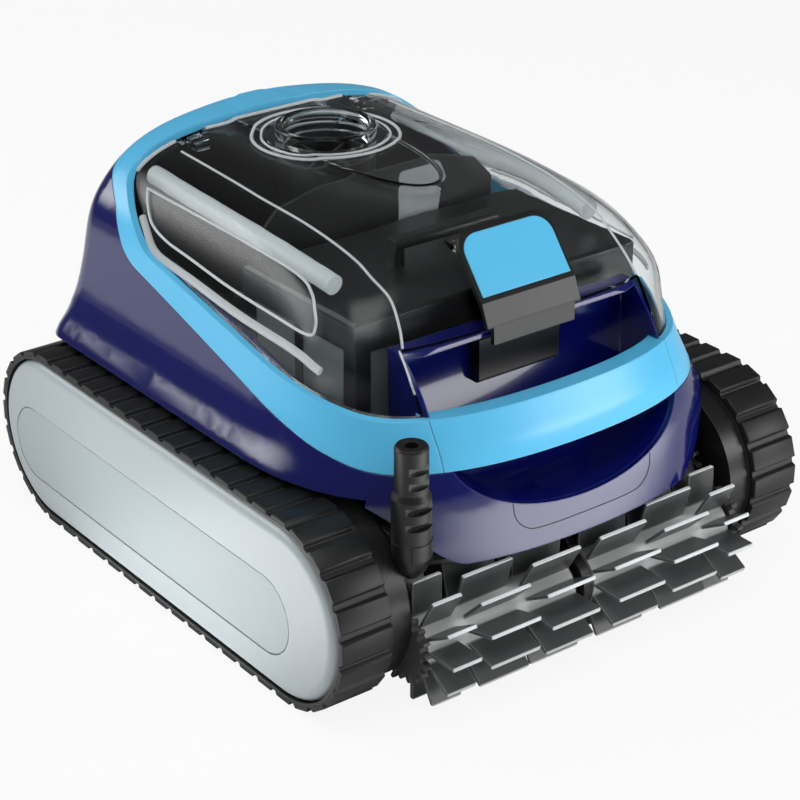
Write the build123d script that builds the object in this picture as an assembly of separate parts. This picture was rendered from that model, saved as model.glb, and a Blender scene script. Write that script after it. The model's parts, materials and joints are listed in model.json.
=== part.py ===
"""Tracked robotic pool cleaner: two belt tracks, a paddle brush, a moulded hull and a clear hinged lid."""
import os
from math import acos, cos, pi, radians, sin, sqrt, tan

from build123d import *

# Frame: +Z up from the floor, the front faces -Y, the width runs along X, millimetres.
# Tracks
FRONT_AXLE_Y = -130.0
REAR_AXLE_Y = 156.0
AXLE_Z = 65.2
TRACK_MID_Y = (FRONT_AXLE_Y + REAR_AXLE_Y) / 2
AXLE_SPAN = REAR_AXLE_Y - FRONT_AXLE_Y
LUG_R = 65.2
BELT_R = 62.2
BELT_INNER_R = 59.8
COVER_R = 59.3
BELT_X = (152.5, 190.5)
LUG_ARC_STEPS = 10
LUG_RUN_STEPS = 14
LUG_BASE = 16.5
LUG_TOP = 13.4
FRAME_X = (135.0, 150.5)
FRAME_PLATE = 4.0
FRAME_RIM = 4.5
BEAM_Y = (-50.0, 76.0)
BEAM_Z = (45.0, 85.0)
BOSS_PLACES = ((-30.0, 92.0), (56.0, 92.0), (13.0, 40.0))
WHEEL_X = (153.0, 180.0)
WHEEL_R = 59.3
COVER_X = (183.0, 192.3)
COVER_ROUND = 8.0
INLAY_R = 27.0
INLAY_Y = (-114.0, 171.0)
INLAY_Z = 57.0
INLAY_GROOVE = 0.8
INLAY_DEPTH = 1.6
SHAFT_R = 6.0
RUN_GAP = 0.05
SEAT_GAP = 0.02
BUSH_R = 10.0

# Brush
BRUSH_Y = -179.0
BRUSH_Z = 43.5
PADDLE_TIP_R = 42.2
PADDLE_THICK = 2.5
PADDLES = 12
PADDLE_COLUMNS = ((8.0, 48.0), (56.0, 96.0), (104.0, 127.0))
SLEEVE_R = 17.5
CORE_R = 15.0
BRUSH_AXLE_R = 5.0
BRUSH_AXLE_END = 137.5
CORE_X = (5.0, 129.5)
GEAR_X = (129.5, 134.4)
GEAR_TEETH = 25
BRUSH_GEAR_TEETH = 18
PRESSURE_ANGLE = radians(20)
GEAR_BACKLASH = 0.35
GEAR_SPAN = sqrt((FRONT_AXLE_Y - BRUSH_Y) ** 2 + (AXLE_Z - BRUSH_Z) ** 2)
HOOD_R = (46.0, 49.0)
HOOD_RIBS = 3
HOOD_RIB_PITCH = 24.0

# Hull sections: height, half width, front, start of the straight side, rear
WALL = 3.0
RING_WALL = 5.0
HANDLE_DEPTH = 14.0
HULL_SECTIONS = (
    (86.0, 172.0, -198.0, -47.0, 191.0),
    (98.0, 171.8, -197.0, -47.0, 190.8),
    (110.0, 171.4, -195.6, -47.0, 190.6),
    (122.0, 170.7, -194.1, -47.0, 190.3),
    (134.0, 169.0, -192.0, -47.0, 191.5),
    (143.0, 163.5, -190.0, -47.0, 190.5),
    (153.0, 157.5, -187.2, -47.0, 189.2),
    (166.0, 152.3, -181.5, -47.0, 187.4),
    (182.0, 148.6, -172.0, -46.0, 185.2),
    (200.0, 145.6, -157.0, -42.0, 183.2),
    (216.0, 143.0, -139.0, -37.0, 181.8),
    (229.0, 138.5, -124.0, -31.0, 180.9),
    (240.0, 131.5, -110.0, -26.0, 180.2),
    (249.0, 123.5, -97.0, -16.0, 179.6),
    (256.0, 115.0, -82.0, -5.0, 179.2),
    (262.0, 105.0, -66.0, 6.0, 178.8),
    (267.0, 92.5, -52.0, 14.0, 178.4),
    (271.0, 76.5, -36.0, 25.0, 178.0),
    (274.0, 57.0, -22.0, 33.0, 177.6),
    (276.0, 36.0, -8.0, 40.0, 177.2),
    (277.2, 16.0, 6.0, 48.0, 177.0),
)
HULL_ROUNDNESS = 0.72
HULL_REAR_CORNER = 22.0
HULL_CROWN = (232.0, 276.0)
SKIRT_Z = 134.0
SKIRT_REACH = 150.0
APRON_Z = 89.0
APRON_HALF = 88.0
APRON_BACK_Y = -150.0
REAR_APRON_Z = 98.0
REAR_APRON_HALF = 112.0
REAR_APRON_Y = 140.0

# Bezel ring edges in side view (y, z) with the corner radii between them
RING_LOWER = (
    (-260.0, 151.0), (-147.0, 148.0), (-107.0, 156.0), (113.0, 206.0), (138.0, 234.0), (230.0, 290.0),
)
RING_UPPER = (
    (-260.0, 184.0), (-137.0, 177.0), (-87.0, 186.0), (92.0, 216.5), (149.5, 253.0), (151.0, 330.0),
)
RING_RADII = (120.0, 100.0, 40.0, 22.0)
SEAM = 0.3
BULKHEAD_Y = (158.0, 161.0)
BULKHEAD_STEP_Z = 200.0
LEDGE_Y = (-95.0, 100.0)
LEDGE_INNER_X = 116.0

# Carry handle and its pocket
SEAM_X = 97.0
POCKET_HALF = 94.0
POCKET_LIP_Z = 114.0
POCKET_SMILE = 42.0
POCKET_FLOOR_Y = (-230.0, -165.0, -138.0)
POCKET_TOP_Z = 211.0
POCKET_BACK_Y = -117.0
POCKET_ROOF = (-134.0, 208.0)
LINER = 2.5

# Lid sections: height, half width, front, start of the straight side, front and side roundness
LID_SECTIONS = (
    (160.0, 147.5, -178.0, -52.0, 0.72, 0.72),
    (172.0, 145.8, -172.8, -52.0, 0.72, 0.72),
    (184.0, 144.0, -165.5, -51.0, 0.74, 0.73),
    (196.0, 142.2, -153.0, -50.0, 0.84, 0.78),
    (206.0, 140.0, -143.0, -48.0, 0.94, 0.83),
    (215.0, 136.8, -135.5, -44.0, 1.00, 0.85),
    (223.0, 133.0, -131.0, -40.0, 1.00, 0.84),
    (231.0, 129.0, -126.0, -33.0, 1.00, 0.80),
    (239.0, 124.6, -120.6, -22.0, 0.96, 0.76),
    (246.0, 120.0, -115.0, -6.0, 0.91, 0.71),
    (253.0, 113.5, -108.0, 20.0, 0.88, 0.66),
    (259.0, 105.0, -98.5, 42.0, 0.85, 0.62),
    (264.0, 93.0, -88.0, 57.0, 0.80, 0.60),
    (268.0, 78.0, -77.0, 68.0, 0.75, 0.60),
    (271.0, 58.0, -59.0, 75.0, 0.70, 0.60),
    (273.0, 33.0, -37.0, 79.0, 0.65, 0.60),
)
LID_REAR_Y = 190.0
LID_REAR_CORNER = 40.0
LID_WALL = 3.0
LID_END_Y = 145.8
LID_CROWN = (213.0, 264.0)
LID_GAP = 0.6
NOTCH_HALF = 97.3
NOTCH_Z = 213.5
HINGE_Y = 142.3
HINGE_Z = 264.0
HINGE_X = 70.0
KNUCKLE_R = 3.6
HINGE_PIN_R = 2.0

# Outlet and pump
OUTLET_Y = 83.0
OUTLET_LIP_R = 35.0
OUTLET_BORE_R = 29.5
OUTLET_FLANGE_R = 42.0
OUTLET_Z = (264.0, 280.0)
FLANGE_Z = (268.0, 272.5)
DUCT_R = (31.5, 34.0)
DUCT_Z = (154.0, 258.0)
VANES = 6
VANE_Z = (246.0, 256.0)
HUB_R = 9.0
PROPELLER_Z = (220.0, 238.0)
PROPELLER_R = 30.3
BLADES = 5
PUMP_SHAFT_R = 4.0
PUMP_SHAFT_Z = (125.0, 240.0)
PUMP_MOTOR_R = 26.0
PUMP_MOTOR_Z = (60.0, 140.0)

# Latch
LATCH_PIVOT = (-105.5, 259.3)
LATCH_HALF = 38.0
LATCH_TAB_HALF = 33.0
KEEPER_HALF = 33.0
LATCH_LINE = ((-100.0, 267.3), (-105.5, 266.5), (-134.0, 231.0), (-140.0, 217.0), (-140.5, 204.0))
LATCH_BACK = ((-102.0, 263.8), (-131.3, 228.8), (-136.8, 216.5), (-137.2, 204.0))
LATCH_KNUCKLE_R = 3.4
LATCH_PIN_R = 1.6
EAR_X = (31.5, 36.5)
EAR_BACK_Y = -94.0
TAB_TOP_Z = 216.0
PANEL_HALF = 35.5
PANEL_THICK = 0.7
PANEL_PROUD = 0.6
PANEL_LOW = -42.0
PANEL_ROUND = 13.0
LATCH_ROUND = 15.0

# Cable gland
GLAND_X = -127.0
GLAND_Y = -179.0
GLAND_R = 12.5
GLAND_TOP_R = 10.6
GLAND_STEP_Z = (146.0, 150.0)
GLAND_TOP_Z = 180.0
GLAND_FOOT_Z = 117.0
GLAND_ARM_Z = 106.0
GLAND_ARM_R = 11.0
GLAND_ARM_END = (-114.0, -136.0)
GLAND_CUP_Z = 89.5
GLAND_SLOTS = (127.0, 138.0, 154.0, 164.0)
GLAND_SLOT_TALL = 5.0
GLAND_SPINE = 7.5
GLAND_BORE_R = 4.6
GLAND_BORE_Z = 120.0

# Chassis, filter and motor block
TRAY_HALF = 126.0
TRAY_Y = (-128.0, 181.0)
TRAY_Z = (22.0, 134.0)
SHELF_Z = (131.6, 133.8)
SHELF_HALF = 165.0
INLET_HALF = 68.0
INLET_Y = (-60.0, -30.0)
FILTER_HALF = 114.0
FILTER_Y = (-105.0, 15.0)
FILTER_Z = (28.0, 222.0)
FILTER_TRIM_Z = 165.0
FLAP_PIVOT = (-62.5, 34.5)
FLAP_PIN_R = 1.5
CASING_HALF = 62.0
CASING_Y = (22.0, 122.0)
CASING_Z = (25.0, 150.0)
DRIVE_MOTOR_R = 20.0
DRIVE_MOTOR_X = (25.0, 105.0)
CRADLE_TOP_Z = 56.0

FAR = 300.0


def block(x, y, z):
    """A box between two values on each axis."""
    size = [high - low for low, high in (x, y, z)]
    middle = [(high + low) / 2 for low, high in (x, y, z)]
    return Pos(*middle) * Box(*size)


def rod_x(radius, y, z, x0, x1):
    """A cylinder along X."""
    return extrude(Plane.YZ.offset(x0) * Pos(y, z) * Circle(radius), x1 - x0)


def tube_x(outer, inner, y, z, x0, x1):
    """A tube along X."""
    return rod_x(outer, y, z, x0, x1) - rod_x(inner, y, z, x0, x1)


def rod_z(radius, x, y, z0, z1):
    """An upright cylinder."""
    return extrude(Plane.XY.offset(z0) * Pos(x, y) * Circle(radius), z1 - z0)


def tube_z(outer, inner, x, y, z0, z1):
    """An upright tube."""
    return rod_z(outer, x, y, z0, z1) - rod_z(inner, x, y, z0, z1)


def slab_x(outline, half, centre=0.0):
    """A side-view outline (y, z) carried across the width."""
    face = make_face(Polyline(*outline, close=True))
    return extrude(Plane.YZ.offset(centre - half) * face, 2 * half)


def stadium(radius, x0, x1):
    """The track's side outline, given a thickness along X."""
    face = Pos(TRACK_MID_Y, AXLE_Z) * SlotCenterToCenter(AXLE_SPAN, 2 * radius)
    return extrude(Plane.YZ.offset(x0) * face, x1 - x0)


def both_sides(name, right):
    """The right-hand piece and its mirror image."""
    mirrored = [mirror(solid, about=Plane.YZ) for solid in right.solids()]
    left = mirrored[0] if len(mirrored) == 1 else Compound(children=mirrored)
    return {"right_" + name: right, "left_" + name: left}


def other_side(points):
    """Points mirrored across the middle, in the opposite order."""
    return [(-x, y) for x, y in reversed(points)]


def section(z, half, front, side, rear, k_front, k_side, rear_corner):
    """One level outline: a rounded front, straight sides and a rear with round corners."""
    depth = side - front
    corner = min(rear_corner, 0.6 * half)
    pull = 0.45 * corner
    nose = ((0, front), (k_front * half, front), (half, side - k_side * depth), (half, side))
    tail = ((half, rear - corner), (half, rear - pull), (half - corner + pull, rear), (half - corner, rear))
    edges = [
        Bezier(*nose),
        Line(nose[3], tail[0]),
        Bezier(*tail),
        Line(tail[3], (-tail[3][0], rear)),
        Bezier(*other_side(tail)),
        Line((-half, rear - corner), (-half, side)),
        Bezier(*other_side(nose)),
    ]
    return Plane.XY.offset(z) * make_face(edges)


def ramp(z, limits):
    """0 below the first height, 1 above the second."""
    return min(1.0, max(0.0, (z - limits[0]) / (limits[1] - limits[0])))


def hull(inset):
    """The hull's smooth outer body, or one set in by a wall."""
    faces = []
    for z, half, front, side, rear in HULL_SECTIONS:
        level = z - inset * ramp(z, HULL_CROWN)
        width = half - inset * (1 - 0.5 * ramp(z, HULL_CROWN))
        faces.append(section(level, width, front + inset, side, rear - inset,
                             HULL_ROUNDNESS, HULL_ROUNDNESS, HULL_REAR_CORNER))
    return loft(faces)


def dome(inset):
    """The lid's smooth outer body, or one set in by its wall."""
    faces = []
    for z, half, front, side, k_front, k_side in LID_SECTIONS:
        level = z - inset * ramp(z, LID_CROWN)
        width = half - inset * (1 - 0.5 * ramp(z, LID_CROWN))
        faces.append(section(level, width, front + inset, side, LID_REAR_Y, k_front, k_side,
                             LID_REAR_CORNER))
    return loft(faces)


def above(edge, lift=0.0):
    """Everything above and in front of a ring edge that is seen from the side."""
    points = [(y, z + lift) for y, z in edge]
    path = FilletPolyline(*points, radius=list(RING_RADII))
    first, last = points[0], points[-1]
    closing = Polyline(last, (first[0], last[1]), first)
    return extrude(Plane.YZ.offset(-FAR) * make_face([*path.edges(), *closing.edges()]), 2 * FAR)


def lifted(shape, height):
    """A shape raised along Z."""
    return shape.moved(Location((0, 0, height)))


HULL = hull(0.0)
HULL_INSIDE = hull(WALL)
OVER_LOWER = above(RING_LOWER)
OVER_UPPER = above(RING_UPPER)


def front_view(points, y0, y1):
    """A front-view face (x, z) carried from y0 to y1."""
    return extrude(Plane.XZ.offset(-y1) * points, y1 - y0)


def pocket_outline(grow):
    """The smile-shaped mouth of the handle pocket."""
    half = POCKET_HALF + grow
    low = POCKET_LIP_Z - grow
    corner = low + POCKET_SMILE
    deep = low - POCKET_SMILE / 3
    smile = Bezier((-half, corner), (-half + 10, deep), (half - 10, deep), (half, corner))
    top = POCKET_TOP_Z + 10
    sides = Polyline((half, corner), (half, top), (-half, top), (-half, corner))
    return make_face([smile, *sides.edges()])


def pocket(grow):
    """The hollow that the fingers reach into, or its liner's outside."""
    back = POCKET_BACK_Y + grow
    low = POCKET_LIP_Z - 2 - grow
    roof_y, roof_z = POCKET_ROOF[0] + grow, POCKET_ROOF[1] + grow
    top = POCKET_TOP_Z + 10
    front, bend, middle = POCKET_FLOOR_Y
    foot = (back - 2, low + 34)
    side = make_face([
        *Polyline((front, top), (front, low - 4), (bend, low + 4)).edges(),
        ThreePointArc((bend, low + 4), (middle + 0.6 * grow, low + 12), foot),
        *Polyline(foot, (back, roof_z), (roof_y, roof_z), (roof_y, top), (front, top)).edges(),
    ])
    return extrude(Plane.YZ.offset(-FAR) * side, 2 * FAR) & front_view(pocket_outline(grow), -FAR, 0)


def skirt_cut():
    """What is taken from under the hull: over the tracks, and round the front and rear aprons."""
    top = SKIRT_Z
    clear = block((-FAR, FAR), (APRON_BACK_Y, REAR_APRON_Y), (0, top))
    reach = SKIRT_REACH
    for half, low, y0, y1 in (
        (APRON_HALF, APRON_Z, -FAR, APRON_BACK_Y),
        (REAR_APRON_HALF, REAR_APRON_Z, REAR_APRON_Y, FAR),
    ):
        edge = [
            *Polyline((-FAR, 0), (FAR, 0), (FAR, top), (reach, top)).edges(),
            Bezier((reach, top), (reach - 18, top - 4), (half + 18, low), (half, low)),
            Line((half, low), (-half, low)),
            Bezier((-half, low), (-half - 18, low), (-reach + 18, top - 4), (-reach, top)),
            *Polyline((-reach, top), (-FAR, top), (-FAR, 0)).edges(),
        ]
        clear += front_view(make_face(edge), y0, y1)
    return clear


def body_shell():
    """Moulded hull skin with aprons, a ledge under the ring and a closed rear bulkhead."""
    skin = (HULL - HULL_INSIDE) - OVER_LOWER
    skin -= skirt_cut()
    skin -= pocket(0)
    skin -= gland_arm(0.4) + gland_cup(0.4) + rod_z(GLAND_R + 0.5, GLAND_X, GLAND_Y, GLAND_FOOT_Z, FAR)
    under_ring = lifted(OVER_LOWER, -WALL - SEAM) - lifted(OVER_LOWER, -SEAM)
    ledge = HULL_INSIDE & under_ring & block((-FAR, FAR), LEDGE_Y, (SKIRT_Z, FAR))
    ledge -= block((-LEDGE_INNER_X, LEDGE_INNER_X), (-FAR, FAR), (0, FAR))
    bulkhead = block((-FAR, FAR), BULKHEAD_Y, (SKIRT_Z, FAR)) & hull(RING_WALL + 2.0)
    low_part = block((-FAR, FAR), BULKHEAD_Y, (SKIRT_Z, BULKHEAD_STEP_Z)) & hull(WALL - 0.2)
    return skin + ledge + bulkhead + low_part


def bezel_band():
    """The slice of space between the bezel's lower and upper edges."""
    return lifted(OVER_LOWER, SEAM) - OVER_UPPER


def bezel_ring():
    """Bright band round the lid, open at the front where the handle bar takes over."""
    band = bezel_band() - block((-SEAM_X - 0.2, SEAM_X + 0.2), (-FAR, -60.0), (0, FAR))
    return (HULL & band) - hull(RING_WALL)


def carry_handle():
    """Handle bar that carries the bezel across the front, with open space behind it."""
    span = block((-SEAM_X + 0.2, SEAM_X - 0.2), (-FAR, -100.0), (0, FAR))
    return (HULL & bezel_band() & span) - HULL.moved(Location((0, HANDLE_DEPTH, 0)))


def gland_arm(grow):
    """Arm that carries the cable gland out from the chassis corner."""
    low, high = GLAND_ARM_Z - grow, GLAND_FOOT_Z + grow
    ends = Pos(GLAND_X, GLAND_Y) * Circle(GLAND_R + 0.5 + grow)
    ends += Pos(*GLAND_ARM_END) * Circle(GLAND_ARM_R + grow)
    return extrude(Plane.XY.offset(low) * make_hull(ends.edges()), high - low)


def gland_cup(grow):
    """Rounded cup that tapers down under the gland."""
    low, high, radius = GLAND_CUP_Z - grow, GLAND_FOOT_Z + grow, GLAND_R + grow
    taper = Bezier((0, low), (0.55 * radius, low), (radius, GLAND_ARM_Z - 6), (radius, GLAND_ARM_Z + 4))
    wall = Polyline((radius, GLAND_ARM_Z + 4), (radius, high), (0, high), (0, low))
    return Pos(GLAND_X, GLAND_Y) * revolve(Plane.XZ * make_face([taper, *wall.edges()]), Axis.Z)


def gland_foot():
    """The arm and its cup, cut clear of the track and the chassis."""
    foot = gland_arm(0.0) - block((-FAR, -FRAME_X[0] + 0.5), (-FAR, FAR), (0, FAR))
    foot += gland_cup(0.0)
    foot -= stadium(COVER_R + 0.6, -FRAME_X[1], -FRAME_X[0] + 0.5)
    return foot - block((-FAR, FAR), (TRAY_Y[0], FAR), (0, FAR))


def cable_gland():
    """Ribbed rubber bend protector with a hole for the cable."""
    low, high = GLAND_FOOT_Z, GLAND_TOP_Z
    step_low, step_high = GLAND_STEP_Z
    profile = [
        (0, low), (GLAND_R, low), (GLAND_R, step_low), (GLAND_TOP_R, step_high),
        (GLAND_TOP_R, high - 1.5), (GLAND_TOP_R - 1, high), (0, high),
    ]
    body = revolve(Plane.XZ * make_face(Polyline(*profile, close=True)), Axis.Z)
    for slot in GLAND_SLOTS:
        for y0, y1 in ((-FAR, -GLAND_SPINE), (GLAND_SPINE, FAR)):
            body -= block((-FAR, FAR), (y0, y1), (slot, slot + GLAND_SLOT_TALL))
    body = Pos(GLAND_X, GLAND_Y) * body
    return body - rod_z(GLAND_BORE_R, GLAND_X, GLAND_Y, GLAND_BORE_Z, high + 1)


def lid_shell():
    """Clear lid: a thin dome with a front notch, an outlet hole, hinge knuckles and latch ears."""
    shell = (dome(0.0) - dome(LID_WALL)) & above(RING_UPPER, LID_GAP)
    shell -= block((-NOTCH_HALF, NOTCH_HALF), (-FAR, -90.0), (0, NOTCH_Z))
    shell -= block((-FAR, FAR), (LID_END_Y, FAR), (0, FAR))
    shell -= rod_z(OUTLET_FLANGE_R + 0.1, 0, OUTLET_Y, 200, 300)
    for side in (-1, 1):
        n0, n1 = sorted((side * (HINGE_X - 10), side * (HINGE_X + 10)))
        shell -= block((n0, n1), (HINGE_Y - KNUCKLE_R - 1, FAR), (0, FAR))
        x0, x1 = sorted((side * (HINGE_X - 5), side * (HINGE_X + 5)))
        web = block((x0, x1), (HINGE_Y - 14, HINGE_Y), (HINGE_Z - 3, HINGE_Z + 6)) & dome(0.3)
        shell += web + rod_x(KNUCKLE_R, HINGE_Y, HINGE_Z, x0, x1)
        shell -= rod_x(HINGE_PIN_R + RUN_GAP, HINGE_Y, HINGE_Z, x0 - 1, x1 + 1)
        e0, e1 = sorted((side * EAR_X[0], side * EAR_X[1]))
        pivot_y, pivot_z = LATCH_PIVOT
        ear = rod_x(LATCH_KNUCKLE_R, pivot_y, pivot_z, e0, e1)
        ear += block((e0, e1), (pivot_y, EAR_BACK_Y), (pivot_z - LATCH_KNUCKLE_R, pivot_z + 0.8))
        shell += ear - dome(LID_WALL)
        shell -= rod_x(LATCH_PIN_R + SEAT_GAP, *LATCH_PIVOT, e0 - 1, e1 + 1)
    return shell


def outlet_collar():
    """Raised round lip of the thrust outlet with its flange in the lid."""
    collar = tube_z(OUTLET_LIP_R, OUTLET_BORE_R, 0, OUTLET_Y, *OUTLET_Z)
    collar += tube_z(OUTLET_FLANGE_R, OUTLET_BORE_R, 0, OUTLET_Y, *FLANGE_Z)
    rims = collar.edges().filter_by(GeomType.CIRCLE).group_by(Axis.Z)[-1]
    return fillet(rims, 2.0)


def latch_lever():
    """Bent latch plate with a pull tab, pivot knuckles and a hook."""
    plate = slab_x([*LATCH_LINE, *reversed(LATCH_BACK)], LATCH_HALF)
    for side in (-1, 1):
        w0, w1 = sorted((side * LATCH_TAB_HALF, side * FAR))
        plate -= block((w0, w1), (-FAR, 0), (0, TAB_TOP_Z))
        x0, x1 = sorted((side * 20.0, side * 31.0))
        plate += rod_x(LATCH_KNUCKLE_R, *LATCH_PIVOT, x0, x1)
        e0, e1 = sorted((side * (EAR_X[0] - 0.3), side * (EAR_X[1] + 0.3)))
        plate -= rod_x(LATCH_KNUCKLE_R + 0.6, *LATCH_PIVOT, e0, e1)
    plate -= rod_x(LATCH_PIN_R + RUN_GAP, *LATCH_PIVOT, -LATCH_HALF, LATCH_HALF)
    plate += block((-12, 12), (-138.5, -132.5), (204.3, 206.8))
    plate &= extrude(latch_face(LATCH_HALF, 4.3, -FAR, LATCH_ROUND), FAR, both=True)
    return plate - latch_panel(0.15)


def latch_face(half, top, low, corner):
    """An outline on the latch's sloped face, its upper corners rounded, measured from the bend."""
    (y0, z0), (y1, z1) = LATCH_LINE[1], LATCH_LINE[2]
    face = Pos(0, (top + low) / 2) * Rectangle(2 * half, top - low)
    face = fillet(face.vertices().group_by(Axis.Y)[-1], corner)
    return Plane((0, y0, z0), x_dir=(1, 0, 0), z_dir=(0, z1 - z0, y0 - y1)) * face


def latch_panel(grow=0.0):
    """Thin coloured inlay on the latch's sloped face."""
    face = latch_face(PANEL_HALF + grow, grow - 1.0, PANEL_LOW - grow, PANEL_ROUND)
    return extrude(face, PANEL_PROUD) + extrude(face, -PANEL_THICK - grow)


def track_belt():
    """Endless rubber belt with a lug across it at every pitch."""
    band = SlotCenterToCenter(AXLE_SPAN, 2 * BELT_R) - SlotCenterToCenter(AXLE_SPAN, 2 * BELT_INNER_R)
    lug = make_face(Polyline((BELT_R - 1, -LUG_BASE / 2), (LUG_R, -LUG_TOP / 2), (LUG_R, LUG_TOP / 2),
                             (BELT_R - 1, LUG_BASE / 2), close=True))
    half = AXLE_SPAN / 2
    for step in range(LUG_ARC_STEPS + 1):
        angle = -90 + 180 * step / LUG_ARC_STEPS
        band += Pos(half, 0) * Rot(0, 0, angle) * lug
        band += Pos(-half, 0) * Rot(0, 0, angle + 180) * lug
    for step in range(1, LUG_RUN_STEPS):
        along = -half + AXLE_SPAN * step / LUG_RUN_STEPS
        band += Pos(along, 0) * Rot(0, 0, 90) * lug
        band += Pos(along, 0) * Rot(0, 0, -90) * lug
    return extrude(Plane.YZ.offset(BELT_X[0]) * Pos(TRACK_MID_Y, AXLE_Z) * band, BELT_X[1] - BELT_X[0])


def track_frame():
    """Inner side frame: a flanged drum with bosses to the chassis and a beam to the cover."""
    frame = stadium(COVER_R, *FRAME_X) - stadium(COVER_R - FRAME_RIM, FRAME_X[0] + FRAME_PLATE, FRAME_X[1])
    (y0, y1), (z0, z1) = BEAM_Y, BEAM_Z
    beam = block((FRAME_X[0], COVER_X[0]), BEAM_Y, BEAM_Z)
    frame += beam - block((FRAME_X[0] + 6, COVER_X[0]), (y0 + 5, y1 - 5), (z0 + 5, z1 - 5))
    for y, z in BOSS_PLACES:
        frame += rod_x(9.0, y, z, TRAY_HALF, FRAME_X[0] + 1)
    for y in (FRONT_AXLE_Y, REAR_AXLE_Y):
        frame -= rod_x(BUSH_R + RUN_GAP, y, AXLE_Z, 120, 151)
    return frame - rod_x(BRUSH_AXLE_R + SEAT_GAP, BRUSH_Y, BRUSH_Z, 130, BRUSH_AXLE_END + 0.3)


def side_cover():
    """Outer stadium cover with a rounded rim and a shallow seat for its inlay."""
    cover = stadium(COVER_R, *COVER_X)
    rim = cover.faces().sort_by(Axis.X)[-1].outer_wire().edges()
    cover = fillet(rim, COVER_ROUND)
    return cover - inlay_plate(INLAY_R + INLAY_GROOVE, COVER_X[1] + 1)


def inlay_plate(radius, x1):
    """The inset panel's stadium outline, from its seat out to x1."""
    y0, y1 = INLAY_Y
    face = Pos((y0 + y1) / 2, INLAY_Z) * SlotCenterToCenter(y1 - y0, 2 * radius)
    x0 = COVER_X[1] - INLAY_DEPTH
    return extrude(Plane.YZ.offset(x0) * face, x1 - x0)


def cover_inlay():
    """Inset stadium panel of the side cover."""
    inlay = inlay_plate(INLAY_R, COVER_X[1] - 0.2)
    return chamfer(inlay.faces().sort_by(Axis.X)[-1].outer_wire().edges(), 0.5)


def wheel(y):
    """Belt wheel: a rim, a web with round windows and a hub."""
    x0, x1 = WHEEL_X
    body = rod_x(WHEEL_R, y, AXLE_Z, x0, x1) - tube_x(WHEEL_R - 5, 14, y, AXLE_Z, x0 + 8, x1)
    for step in range(6):
        angle = 2 * pi * step / 6
        body -= rod_x(9.5, y + 34 * cos(angle), AXLE_Z + 34 * sin(angle), x0 - 1, x1)
    return body - rod_x(SHAFT_R + SEAT_GAP, y, AXLE_Z, x0 - 1, x1 + 1)


def involute(base, radius):
    """Roll angle of an involute at a radius, nothing below its base circle."""
    if radius <= base:
        return 0.0
    pressure = acos(base / radius)
    return tan(pressure) - pressure


def gear(teeth, phase, y, z, bore):
    """Spur gear with involute flanks, thinned a little for backlash."""
    module = 2 * GEAR_SPAN / (GEAR_TEETH + BRUSH_GEAR_TEETH)
    pitch = module * teeth / 2
    base = pitch * cos(PRESSURE_ANGLE)
    root, tip = pitch - 1.2 * module, pitch + 0.9 * module
    half = pi / (2 * teeth) - GEAR_BACKLASH / (2 * pitch) + involute(base, pitch)
    start = max(root, base)
    radii = [start + (tip - start) * step / 5 for step in range(6)]
    flank = [(root, half)] + [(r, half - involute(base, r)) for r in radii]
    outline = []
    for tooth in range(teeth):
        middle = phase + 2 * pi * tooth / teeth
        outline += [(r * cos(middle - a), r * sin(middle - a)) for r, a in flank]
        outline += [(r * cos(middle + a), r * sin(middle + a)) for r, a in reversed(flank)]
    face = make_face(Polyline(*outline, close=True)) - Circle(bore)
    return extrude(Plane.YZ.offset(GEAR_X[0]) * Pos(y, z) * face, GEAR_X[1] - GEAR_X[0])


def across_brush(x):
    """A plane across the brush axis, centred on it."""
    return Plane.YZ.offset(x) * Pos(BRUSH_Y, BRUSH_Z)


def brush_sleeve():
    """Rubber sleeve of one brush half with staggered columns of paddles."""
    ring = Circle(SLEEVE_R) - Circle(CORE_R + SEAT_GAP)
    start, end = PADDLE_COLUMNS[0][0], PADDLE_COLUMNS[-1][1]
    sleeve = extrude(across_brush(start) * ring, end - start)
    reach = PADDLE_TIP_R - SLEEVE_R + 1
    for column, (x0, x1) in enumerate(PADDLE_COLUMNS):
        star = ring
        for paddle in range(PADDLES):
            angle = 360 * (paddle + 0.5 * (column % 2)) / PADDLES
            star += Rot(0, 0, angle) * Pos(PADDLE_TIP_R - reach / 2, 0) * Rectangle(reach, PADDLE_THICK)
        sleeve += extrude(across_brush(x0) * star, x1 - x0)
    return sleeve


def brush_hood():
    """Curved guard over the brush with ribs back to the chassis."""
    half = 127.0
    guard = tube_x(HOOD_R[1], HOOD_R[0], BRUSH_Y, BRUSH_Z, -half, half)
    guard &= block((-half, half), (BRUSH_Y - 8, -128.0), (40.0, 120.0))
    for step in range(-HOOD_RIBS, HOOD_RIBS + 1):
        x = HOOD_RIB_PITCH * step
        rib = block((x - 1.5, x + 1.5), (BRUSH_Y - 4, TRAY_Y[0]), (50.0, 107.0))
        guard += rib - rod_x(HOOD_R[1] - 1, BRUSH_Y, BRUSH_Z, -half, half)
    guard -= block((-4.0, 4.0), (-145.0, TRAY_Y[0]), (0, BRUSH_Z + 6.5))
    guard -= HULL - hull(WALL + 0.6)
    guard -= gland_arm(0.3) + gland_cup(0.3)
    return guard.solids().sort_by(SortBy.VOLUME)[-1]


def brush_bearing():
    """Disc that holds the brush axle between the two brush halves, with its arm."""
    arm = block((-3.5, 3.5), (BRUSH_Y, -139.0), (BRUSH_Z - 6, BRUSH_Z + 6))
    arm += block((-3.5, 3.5), (-139.0, TRAY_Y[0]), (BRUSH_Z - 14, BRUSH_Z + 6))
    disc = rod_x(21.0, BRUSH_Y, BRUSH_Z, -3.5, 3.5)
    return arm + disc - rod_x(BRUSH_AXLE_R + SEAT_GAP, BRUSH_Y, BRUSH_Z, -4, 4)


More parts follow.
